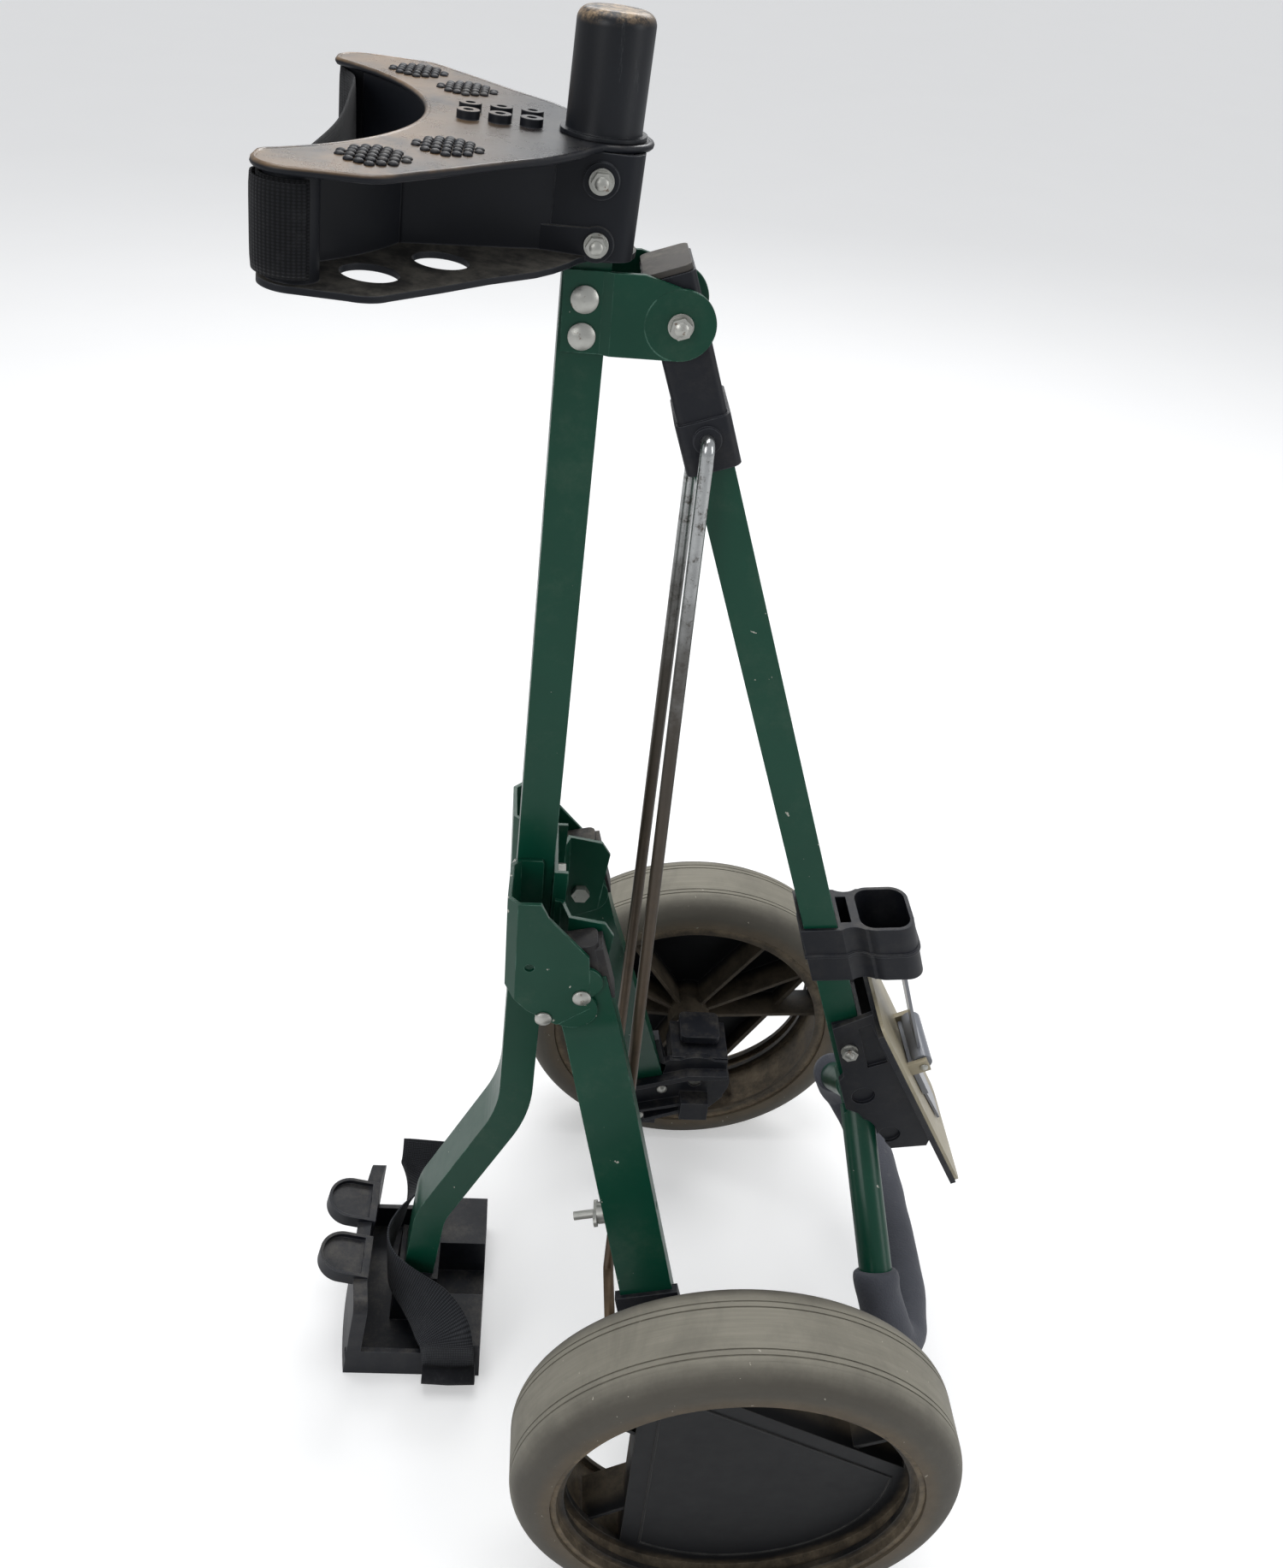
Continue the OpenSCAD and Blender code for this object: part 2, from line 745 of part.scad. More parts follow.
// Round bar between two points in space
module bar_between(p, q, d, fn = fine) {
    v = q - p;
    translate(p) rotate([0, 0, atan2(v[1], v[0])]) rotate([0, acos(v[2] / norm(v)), 0])
        cylinder(d = d, h = norm(v), $fn = fn);
}

module grip_loop() {
    color(paint_green) placed() on_handle() {
        both_sides() bar_between(arm_start, arm_end, loop_d);
        block([-handle_depth / 2 + 1, -handle_width / 2, loop_yoke],
            [handle_depth / 2 + 3, handle_width / 2, loop_yoke + 26]);
    }
}

// Stations of the foam grip; its first stretch carries on along the arm, clear of its end
arm_dir = (arm_end - arm_start) / norm(arm_end - arm_start);
foam_points = [arm_end + arm_dir, arm_end + 19 * arm_dir, [17, -120, 738], [11, -113, 754],
    [5, -93, 764], [1, -62, 769], [0, -31, 771], [0, 0, 772]];

module foam_grip() {
    color(foam_grey) placed() on_handle() both_sides() {
        for (i = [0 : len(foam_points) - 2]) bar_between(foam_points[i], foam_points[i + 1], foam_d, 32);
        for (i = [1 : len(foam_points) - 2]) translate(foam_points[i]) sphere(d = foam_d + 0.2, $fn = 32);
    }
}

// ---- Accessory holder and scorecard -----------------------------------------------------------
holder_s = 422;
holder_tilt = 13.5;
holder_h = 46;
holder_wall = 2.5;
holder_screw_s = 446;
sleeve_out = 13.7;
waist_r = 12;
waist_n = -21;
pocket_c = -43;
pocket_w = 38;
pocket_d = 44;
pocket_r = 12;
slot_w = 7;
ridge = 1.2;

// Plan of the holder across the handle tube: sleeve, waist and pocket, larger all round by grow
module holder_outline(grow) {
    half = handle_width / 2 + fit + holder_wall + grow;
    difference() {
        union() {
            translate([pocket_c + 10, -half]) square([sleeve_out + grow - pocket_c - 10, 2 * half]);
            translate([pocket_c, 0]) rounded_rect(pocket_w + 2 * grow, pocket_d + 2 * grow, pocket_r + grow);
        }
        for (s = [-1, 1]) translate([waist_n, s * (handle_width / 2 + waist_r)])
            circle(waist_r - grow, $fn = fine);
    }
}

// Slice of its child that slopes with the rims of the holder, from t0 to t1 below the upper rim
module holder_slice(t0, t1) {
    intersection() {
        translate([0, 0, 380]) linear_extrude(140) children();
        translate([0, 0, holder_s]) rotate([0, holder_tilt, 0]) block([-100, -60, t0], [60, 60, t1]);
    }
}

// Cup on the rear side of the handle for tees and small things
module accessory_holder() {
    color(plastic_black) placed() on_handle() difference() {
        union() {
            holder_slice(0, holder_h) holder_outline(0);
            holder_slice(22, 24.5) holder_outline(ridge);
        }
        translate([0, 0, 380]) linear_extrude(140)
            square([handle_depth + 2 * fit, handle_width + 2 * fit], center = true);
        holder_slice(-30, holder_h - 4) translate([-sleeve_out - slot_w / 2, 0])
            square([slot_w, 26], center = true);
        holder_slice(-30, holder_h - 4) translate([pocket_c, 0])
            rounded_rect(pocket_w - 2 * holder_wall, pocket_d - 2 * holder_wall, pocket_r - holder_wall);
        translate([pocket_c, 0, holder_s]) cylinder(d = 10, h = 90, $fn = fine);
        translate([0, 0, holder_screw_s]) x_bar(4.4, -40, 0);
    }
}

module accessory_screw() {
    color(zinc) placed() on_handle() translate([0, 0, holder_screw_s]) {
        x_bar(4, -14.8, -8);
        translate([-sleeve_out - fit, 0, 0]) rotate([0, -90, 0]) pan_head(7, 1.1);
    }
}

clamp_bolt_s = 536;
card_tilt = 10;
card_s = 500;
card_n = 24;
card_len = 180;
card_w = 92;

// Frame of the scorecard: origin at its upper edge on the tube's rear side, +Z down the card
module on_card() {
    on_handle(card_s) translate([-card_n, 0, 0]) rotate([0, -card_tilt, 0]) children();
}

module scorecard_frame() {
    color(plastic_black) placed() difference() {
        union() {
            on_handle() block([-handle_depth / 2 - fit - 3, -handle_width / 2 - fit - 3, 512],
                [handle_depth / 2 + fit + 3, handle_width / 2 + fit + 3, 560]);
            on_card() difference() {
                block([0, -card_w / 2, 6], [4, card_w / 2, card_len - 2]);
                block([-1, -card_w / 2 + 9, 20], [6, card_w / 2 - 9, 60]);
            }
            both_sides() side_flange();
        }
        on_handle() block([-handle_depth / 2 - fit, -handle_width / 2 - fit, 480],
            [handle_depth / 2 + fit, handle_width / 2 + fit, 700]);
        on_handle(clamp_bolt_s) y_bar(bolt_d + 2 * fit, -60, 60);
        on_handle() block([8, -40, 505], [40, 40, 561]);
    }
}

flange_in = handle_width / 2 + fit + 3;
flange_t = 4;
pen_d = 17;
pen_depth = 2.5;
pen_places = [[-2.5, 586.5], [-14.5, 634]];

// Side flange between the clamp and the frame, with a recess and two shallow round tee sockets
module side_flange() {
    on_handle() difference() {
        side_plate(-flange_in - flange_t, -flange_in)
            polygon([[8, 512], [8, 562], [12, 566], [12, 597], [4, 604], [-14, 650], [-40, 654],
                [-47, 640], [-22, 505]]);
        bar_between(arm_start, arm_end, loop_d + 1);
        side_plate(-flange_in - flange_t - cut, -flange_in - flange_t + pen_depth) {
            for (p = pen_places) translate(p) circle(d = pen_d, $fn = fine);
            polygon([[-10, 516], [-19, 514], [-25, 556], [-10, 558]]);
        }
    }
}

module scorecard_plate() {
    color(card_beige) placed() on_card() difference() {
        union() {
            translate([-2.6, 0, card_len / 2]) rotate([0, 90, 0]) linear_extrude(2.4)
            rounded_rect(card_len, card_w, 8);
            both_sides() block([clip_x - 4, -26, clip_hinge_s - 5], [-0.4, -22, clip_hinge_s + 5]);
        }
        translate([clip_x, 0, clip_hinge_s]) y_bar(clip_pin_d + 2 * run, -40, 40);
    }
}

module clip_pin() {
    color(zinc) placed() on_card() translate([clip_x, 0, clip_hinge_s]) {
        y_bar(clip_pin_d, -26.2, 26.2);
        both_sides() translate([0, -26.2, 0]) rotate([90, 0, 0]) pan_head(6, 1.6);
    }
}

module scorecard_bolt() {
    color(zinc) placed() on_handle(clamp_bolt_s) cross_bolt(bolt_d, flange_in + flange_t + fit, 12, 10);
}

clip_hinge_s = 70;
clip_x = -13;
clip_pin_d = 3;
clip_t = 2;
clip_gap = 0.6;

clip_lever = 84;

// Sprung clip that holds the card: two fingers and a long thumb lever on a pivot barrel
module scorecard_clip() {
    face = -2.6 - clip_gap - clip_t;
    color("#8d8f93") placed() on_card() difference() {
        union() {
            translate([clip_x, 0, clip_hinge_s]) y_bar(14, -21.5, 21.5);
            for (s = [-1, 1]) translate([face, 0, clip_hinge_s]) rotate([s * 8, 0, 0])
                block([0, s * 14 - 7, 20], [clip_t, s * 14 + 7, 74]);
            block([face - 2, -21, clip_hinge_s - 1], [face + clip_t, 21, clip_hinge_s + 34]);
            translate([clip_x, 0, clip_hinge_s]) rotate([0, 10, 0])
            block([-1, -14, -clip_lever], [1.2, 14, 0]);
        }
        translate([clip_x, 0, clip_hinge_s]) y_bar(clip_pin_d + 2 * run, -40, 40);
    }
}

// ---- Legs ----------------------------------------------------------------------------------------
leg_above = 12;
leg_bend_s = 36;
leg_end_s = 296;
leg_bend_r = 60;
plug_h = 27.5;
plug_spigot = 5;
plug_tongue = 8;

// Frame on the left leg: origin on its pivot, +Z down the leg
module on_leg() {
    translate([leg_pivot[0], -leg_y, leg_pivot[1]]) rotate([0, 180 - leg_lean, 0]) children();
}

// Centreline of the leg in its own [y, z] plane; it splays towards -Y below the bend
function leg_samples(top, tail) = concat(
    [[[0, -leg_above - top], 0]],
    bend([0, leg_bend_s], 0, -leg_splay, leg_bend_r),
    [[[0, leg_bend_s] + (leg_end_s - leg_bend_s + tail) * heading(-leg_splay), -leg_splay]]);

module leg_tube() {
    color(paint_green) placed() difference() {
        on_leg() rotate([90, 0, 90]) translate([0, 0, -leg_depth / 2]) linear_extrude(leg_depth)
            polygon(strip(leg_samples(0, 0), leg_thick));
        on_leg() rotate([90, 0, 90]) translate([0, 0, -leg_depth / 2 + tube_wall])
            linear_extrude(leg_depth - 2 * tube_wall)
                polygon(strip(leg_samples(cut, cut), leg_thick - 2 * tube_wall));
        on_leg_pivot() y_bar(12 + 2 * fit, -80, 0);
        wing_place() x_bar(wing_d + 2 * run, -20, 20);
        hub_bolt_holes();
    }
}

// Cap on the upper end of the leg, with a spigot inside and a tongue over the rear face
module leg_plug() {
    color(plastic_black) placed() on_leg() {
        translate([0, 0, -leg_above - plug_h]) linear_extrude(plug_h - fit)
            rounded_rect(leg_depth - 0.5, leg_thick - 0.5, 5);
        translate([0, 0, -leg_above - fit]) linear_extrude(plug_spigot)
            rounded_rect(leg_depth - 2 * tube_wall - 1, leg_thick - 2 * tube_wall - 1, 3);
        block([-leg_depth / 2 - fit - 2, -leg_thick / 2 + 0.5, -leg_above - plug_h + 4],
            [-leg_depth / 2 - fit, leg_thick / 2 - 0.5, plug_tongue]);
        block([-leg_depth / 2 - 1, -leg_thick / 2 + 0.5, -leg_above - plug_h + 4],
            [-leg_depth / 2 + 3, leg_thick / 2 - 0.5, -leg_above - fit]);
    }
}

module leg_bush() {
    color(zinc) placed() on_leg_pivot() difference() {
        y_bar(12, -leg_y - leg_thick / 2, -leg_y + leg_thick / 2);
        y_bar(pivot_d + 2 * run, -80, 0);
    }
}

wing_d = 6;
wing_s = 186;

// Frame of the wing bolt on the front face of the left leg
module wing_place() {
    on_leg() translate([0, 0, leg_bend_s]) rotate([leg_splay, 0, 0])
        translate([0, 0, wing_s - leg_bend_s]) children();
}

module wing_bolt() {
    color(zinc) placed() wing_place() {
        x_bar(wing_d, leg_depth / 2 - 8, leg_depth / 2 + 22);
        x_bar(15, leg_depth / 2 + fit, leg_depth / 2 + 5);
        for (s = [-1, 1]) translate([leg_depth / 2 + 5, s * 6, 0]) rotate([0, 90, 0])
            linear_extrude(2.5) rounded_rect(7, 13, 3);
    }
}

// ---- Hub brackets -----------------------------------------------------------------------------------
hub_in = 116;
hub_out = 160;
hub_plate = 6;
hub_boss_end = 179.2;
hub_r = 22;
hub_bolt_places = [[-46, 106], [-28, 140]];
rod_end = [-78.5, 130];
rod_end_y = 56;
button_c = [2, 145];
button_w = 34;
button_l = 30;
button_z = 178;
button_rise = 7;

// Side outline of the hub bracket, in XZ
module hub_profile() {
    polygon([[-74, 104], [-70, 94], [-40, 96], [16, 118], [26, 132], [26, 176], [-24, 176], [-74, 140]]);
    translate([0, 150]) circle(30, $fn = fine);
    translate([-70, 118]) circle(16, $fn = fine);
}

module hub_bracket() {
    shaft = [button_w / 2 - 4 + fit, button_l / 2 - 4 + fit];
    color(plastic_black) placed() difference() {
        union() {
            side_plate(-hub_in - hub_plate, -hub_in) hub_profile();
            side_plate(-hub_in, -hub_in + hub_ledge) hub_ribs();
            translate([0, 0, wheel_r]) y_bar(2 * hub_r, -hub_out - 8, -hub_in - 2, round_fn);
            translate([0, 0, wheel_r]) y_bar(24, -hub_boss_end, -hub_in - 2);
            block([-22, -hub_out, 150], [26, -hub_in - 2, button_z]);
            leg_socket();
            block([-74, -hub_in - 26, 92], [-30, -hub_in - 2, 100]);
            block([-12, -hub_in, 118], [12, -hub_in + 15, 138]);
            block([-8, -hub_in, 113], [8, -hub_in + 11, 120]);
        }
        translate([0, 0, wheel_r]) y_bar(axle_d, -200, -100);
        leg_space();
        translate([button_c[0], -button_c[1], 0])
            block([-shaft[0], -shaft[1], 171], [shaft[0], shaft[1], 200]);
        hub_bolt_holes();
        for (p = hub_bolt_places) translate([p[0], 0, p[1]]) y_bar(12, -hub_in, -hub_in + 20);
        translate([rod_end[0], 0, rod_end[1]]) y_bar(rod_d + 2 * fit, -130, -100);
        side_plate(-hub_out - 10, -hub_in + 1) polygon([[-38, 152], [-30, 150], [-27, 170], [-33, 172]]);
    }
}

hub_ledge = 9;

// Ledge along the upper edge of the bracket and two thin ribs, on its inner face
module hub_ribs() {
    polygon([[26, 163], [26, 167], [-8, 166], [-64, 147], [-64, 143], [-8, 160]]);
    polygon([[-12, 128], [-12, 131], [-64, 116], [-64, 113.5]]);
    polygon([[-12, 120], [-12, 122.5], [-58, 103.5], [-58, 101]]);
}

socket_s = 214;

// Socket of the hub bracket round the lower end of the leg
module leg_socket() {
    intersection() {
        on_leg() translate([0, 0, leg_bend_s]) rotate([leg_splay, 0, 0])
            block([-leg_depth / 2 - 4, -leg_thick / 2 - 4, socket_s],
                [leg_depth / 2 + 4, leg_thick / 2 + 4, leg_end_s - leg_bend_s + 5]);
        block([-200, -hub_out - 6, 60], [60, -hub_in, 220]);
    }
}

// Space for the leg inside its socket
module leg_space() {
    on_leg() translate([0, 0, leg_bend_s]) rotate([leg_splay, 0, 0])
        block([-leg_depth / 2 - fit, -leg_thick / 2 - fit, 40],
            [leg_depth / 2 + fit, leg_thick / 2 + fit, leg_end_s - leg_bend_s + fit]);
}

module hub_bolt_holes() {
    for (p = hub_bolt_places) translate([p[0], 0, p[1]]) y_bar(5 + 2 * fit, -hub_out - 30, -100);
}

module hub_bolts() {
    color(zinc) placed() for (p = hub_bolt_places) translate([p[0], 0, p[1]]) {
        y_bar(5, -hub_in - 20, -hub_in + 1);
        translate([0, -hub_in + fit, 0]) rotate([-90, 0, 0]) pan_head(9, 2.8);
    }
}

axle_inner = 118;
axle_outer = 206;

module axle() {
    color(zinc) placed() translate([0, 0, wheel_r]) difference() {
        y_bar(axle_d, -axle_outer, -axle_inner);
        translate([0, -wheel_y + 22, 0]) axle_groove();
    }
}

// Groove for the retaining catch near the outer end of the axle
module axle_groove() {
    rotate([-90, 0, 0]) difference() {
        cylinder(d = axle_d + 4, h = 3, $fn = fine);
        translate([0, 0, -cut]) cylinder(d = axle_d - 3, h = 5, $fn = fine);
    }
}

module release_button() {
    color(plastic_black) placed() translate([button_c[0], -button_c[1], 0]) {
        translate([0, 0, button_z + 5]) linear_extrude(button_rise) rounded_rect(button_w, button_l, 5);
        block([-button_w / 2 + 4, -button_l / 2 + 4, 176], [button_w / 2 - 4, button_l / 2 - 4, button_z + 6]);
    }
}

// ---- Rods ------------------------------------------------------------------------------------------
rod_top = [hinge_point[0] + rod_pin_s * sin(handle_lean), hinge_point[1] - rod_pin_s * cos(handle_lean)];

module rod() {
    top = [rod_top[0], -rod_top_y - rod_d / 2, rod_top[1]];
    low = [rod_end[0], -rod_end_y, rod_end[1]];
    color(rod_brown) placed() {
        bar_between(top, low, rod_d);
        translate(top) sphere(d = rod_d + 0.2, $fn = fine);
        translate(low) sphere(d = rod_d + 0.2, $fn = fine);
        translate([rod_top[0], 0, rod_top[1]]) y_bar(rod_d, top[1], -16);
        translate([rod_end[0], 0, rod_end[1]]) y_bar(rod_d, -hub_in + 0.8, low[1]);
    }
}

module rod_left() {
    rod();
}

module rod_right() {
    mirror([0, 1, 0]) rod();
}

// ---- Wheels ------------------------------------------------------------------------------------------
groove_offsets = [14, 18, 22];
groove_w = 1;
groove_d = 0.9;
shoulder_r = 19;
spoke_gap = 0.59;
rim_wall = 4;
hub_boss_r = 19;
bush_d = 18;
face_t = 4;
face_z = 10;

// Frame on the left wheel: origin at its centre, +Z along the axle towards the outside
module on_wheel() {
    translate([0, -wheel_y, wheel_r]) rotate([90, 0, 0]) children();
}

module tyre() {
    inner = rim_d / 2 + 2;
    color(tyre_grey) placed() on_wheel() rotate_extrude($fn = round_fn) difference() {
        union() {
            translate([inner, -tyre_w / 2 + shoulder_r]) square([wheel_r - inner, tyre_w - 2 * shoulder_r]);
            translate([inner, -tyre_w / 2]) square([wheel_r - inner - shoulder_r, tyre_w]);
            for (s = [-1, 1]) translate([wheel_r - shoulder_r, s * (tyre_w / 2 - shoulder_r)])
                circle(shoulder_r, $fn = fine);
        }
        translate([0, -tyre_w]) square([inner, 2 * tyre_w]);
        for (s = [-1, 1], g = groove_offsets) translate([wheel_r - groove_d, s * g - groove_w / 2])
            square([groove_d + cut, groove_w]);
    }
}

rim_out = rim_d / 2 + 2 - fit;
rim_in = rim_out - rim_wall;
chord = spoke_gap * rim_in;
bead_in = 13;
bead_w = 1.6;
bead_h = 0.8;

// Face of the rim inside a margin m: a disc less a chord segment at each of its two openings
module rim_face(m) {
    intersection() {
        circle(rim_in - m, $fn = round_fn);
        translate([-rim_d, -rim_d]) square([rim_d + chord - m, 2 * rim_d]);
        rotate(120) translate([-rim_d, -rim_d]) square([rim_d + chord - m, 2 * rim_d]);
    }
}

// Barrel, outer face plate with two chord openings, ribs and hub of the rim
module rim(turn) {
    color(plastic_black) placed() on_wheel() difference() {
        union() {
            rotate_extrude($fn = round_fn) {
                translate([rim_in, -tyre_w / 2 + 2]) square([rim_wall, tyre_w - 4]);
                translate([rim_in - 5, tyre_w / 2 - 12]) square([6, 4]);
                translate([rim_in - 5, -tyre_w / 2 + 2]) square([6, 3]);
            }
            rotate(turn) {
                translate([0, 0, face_z]) linear_extrude(face_t) rim_plate();
                translate([0, 0, face_z + face_t]) linear_extrude(bead_h) difference() {
                    rim_face(bead_in);
                    rim_face(bead_in + bead_w);
                }
                for (a = [0, 120]) rotate(a) translate([chord - 4, -rim_in * 0.78, -6]) cube([4, rim_in * 1.56, 18]);
                for (i = [0 : 8]) rotate(60 + 120 * floor(i / 3) + 26 * (i % 3 - 1))
                    translate([hub_boss_r - 2, -1.5, -18]) cube([rim_in - hub_boss_r, 3, 30]);
            }
            translate([0, 0, -30]) cylinder(r = hub_boss_r, h = 42, $fn = round_fn);
        }
        translate([0, 0, -32]) cylinder(d = bush_d, h = 40, $fn = round_fn);
    }
}

// Face plate of the rim: the whole disc less the two chord segments, whose outer border stays
module rim_plate() {
    difference() {
        circle(rim_in + 1, $fn = round_fn);
        for (a = [0, 120]) rotate(a) intersection() {
            translate([chord, -rim_in]) square([rim_in, 2 * rim_in]);
            circle(rim_in - 6, $fn = round_fn);
        }
    }
}

module hub_bush() {
    color("#c9c9c4") placed() on_wheel() difference() {
        union() {
            translate([0, 0, -31]) cylinder(d = bush_d, h = 39, $fn = fine);
            translate([0, 0, -32.2]) cylinder(d = bush_d + 8, h = 2, $fn = fine);
        }
        translate([0, 0, -35]) cylinder(d = axle_d + 2 * run, h = 60, $fn = fine);
    }
}

module leg_left() {
    leg_tube();
}

module leg_plug_left() {
    leg_plug();
}

module leg_bush_left() {
    leg_bush();
}

module hub_bracket_left() {
    hub_bracket();
}

module axle_left() {
    axle();
}

module hub_bolts_left() {
    hub_bolts();
}

module wing_bolt_left() {
    wing_bolt();
}

module release_button_left() {
    release_button();
}

module tyre_left() {
    tyre();
}

module rim_left() {
    rim(60);
}

module hub_bush_left() {
    hub_bush();
}

module leg_right() {
    mirror([0, 1, 0]) leg_tube();
}

module leg_plug_right() {
    mirror([0, 1, 0]) leg_plug();
}

module leg_bush_right() {
    mirror([0, 1, 0]) leg_bush();
}

module hub_bracket_right() {
    mirror([0, 1, 0]) hub_bracket();
}

module axle_right() {
    mirror([0, 1, 0]) axle();
}

module hub_bolts_right() {
    mirror([0, 1, 0]) hub_bolts();
}

module wing_bolt_right() {
    mirror([0, 1, 0]) wing_bolt();
}

module release_button_right() {
    mirror([0, 1, 0]) release_button();
}

module tyre_right() {
    mirror([0, 1, 0]) tyre();
}

module rim_right() {
    mirror([0, 1, 0]) rim(-150);
}

module hub_bush_right() {
    mirror([0, 1, 0]) hub_bush();
}

upright_tube();
upper_bracket();
post_cap();
bracket_bolts();
hinge_plate_left();
hinge_plate_right();
hinge_rivets();
hinge_bolt();
mid_web_plate();
outer_ear_left();
outer_ear_right();
inner_ear_left();
inner_ear_right();
web_bolts();
ear_bolt();
leg_pivot_bolts();
stop_pins();
lower_cradle();
cradle_bolt();
upper_strap();
lower_strap();
handle_tube();
hinge_sleeve();
sleeve_plug();
hinge_bush();
grip_loop();
foam_grip();
accessory_holder();
accessory_screw();
scorecard_frame();
scorecard_plate();
scorecard_bolt();
clip_pin();
scorecard_clip();
rod_left();
rod_right();
leg_left();
leg_plug_left();
leg_bush_left();
hub_bracket_left();
axle_left();
hub_bolts_left();
leg_right();
leg_plug_right();
leg_bush_right();
hub_bracket_right();
axle_right();
hub_bolts_right();
wing_bolt_left();
wing_bolt_right();
release_button_left();
release_button_right();
tyre_left();
rim_left();
hub_bush_left();
tyre_right();
rim_right();
hub_bush_right();
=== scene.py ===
"""Looks of the folding golf push trolley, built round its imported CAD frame. Metres, +Z up."""
import json
import math
import random

import bmesh
import bpy
from mathutils import Matrix, Vector


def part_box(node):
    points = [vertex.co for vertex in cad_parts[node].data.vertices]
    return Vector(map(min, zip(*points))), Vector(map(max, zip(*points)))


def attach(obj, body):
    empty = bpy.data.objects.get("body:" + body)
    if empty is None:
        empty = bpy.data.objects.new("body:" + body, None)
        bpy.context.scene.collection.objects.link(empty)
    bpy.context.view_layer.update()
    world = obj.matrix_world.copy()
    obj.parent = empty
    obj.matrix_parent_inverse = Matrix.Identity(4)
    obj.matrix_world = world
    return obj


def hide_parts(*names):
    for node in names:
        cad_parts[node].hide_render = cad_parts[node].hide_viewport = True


MM = 0.001

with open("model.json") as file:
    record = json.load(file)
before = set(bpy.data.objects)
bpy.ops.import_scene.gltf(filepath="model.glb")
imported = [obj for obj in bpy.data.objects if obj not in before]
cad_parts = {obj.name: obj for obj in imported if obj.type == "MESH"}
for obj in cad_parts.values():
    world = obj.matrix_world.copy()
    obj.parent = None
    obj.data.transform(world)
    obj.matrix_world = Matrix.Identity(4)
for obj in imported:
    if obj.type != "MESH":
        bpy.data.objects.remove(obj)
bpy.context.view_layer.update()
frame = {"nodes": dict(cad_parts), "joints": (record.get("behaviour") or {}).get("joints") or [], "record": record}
nodes = frame["nodes"]
joints = {j["name"]: j for j in frame["joints"]}

WHEEL_R = (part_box("tyre_left")[1].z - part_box("tyre_left")[0].z) / 2
TYRE_HALF = (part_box("tyre_left")[1].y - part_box("tyre_left")[0].y) / 2
WHEEL_CENTRE = {
    side: Vector(joints["wheel_spin_" + side]["pos_m"]) for side in ("left", "right")
}
SIDE_SIGN = {"left": -1, "right": 1}


# ---- Material graphs ------------------------------------------------------------------


def srgb(red, green, blue):
    """Linear colour of an 8-bit display colour."""
    def linear(v):
        v /= 255
        return v / 12.92 if v <= 0.04045 else ((v + 0.055) / 1.055) ** 2.4
    return (linear(red), linear(green), linear(blue), 1)


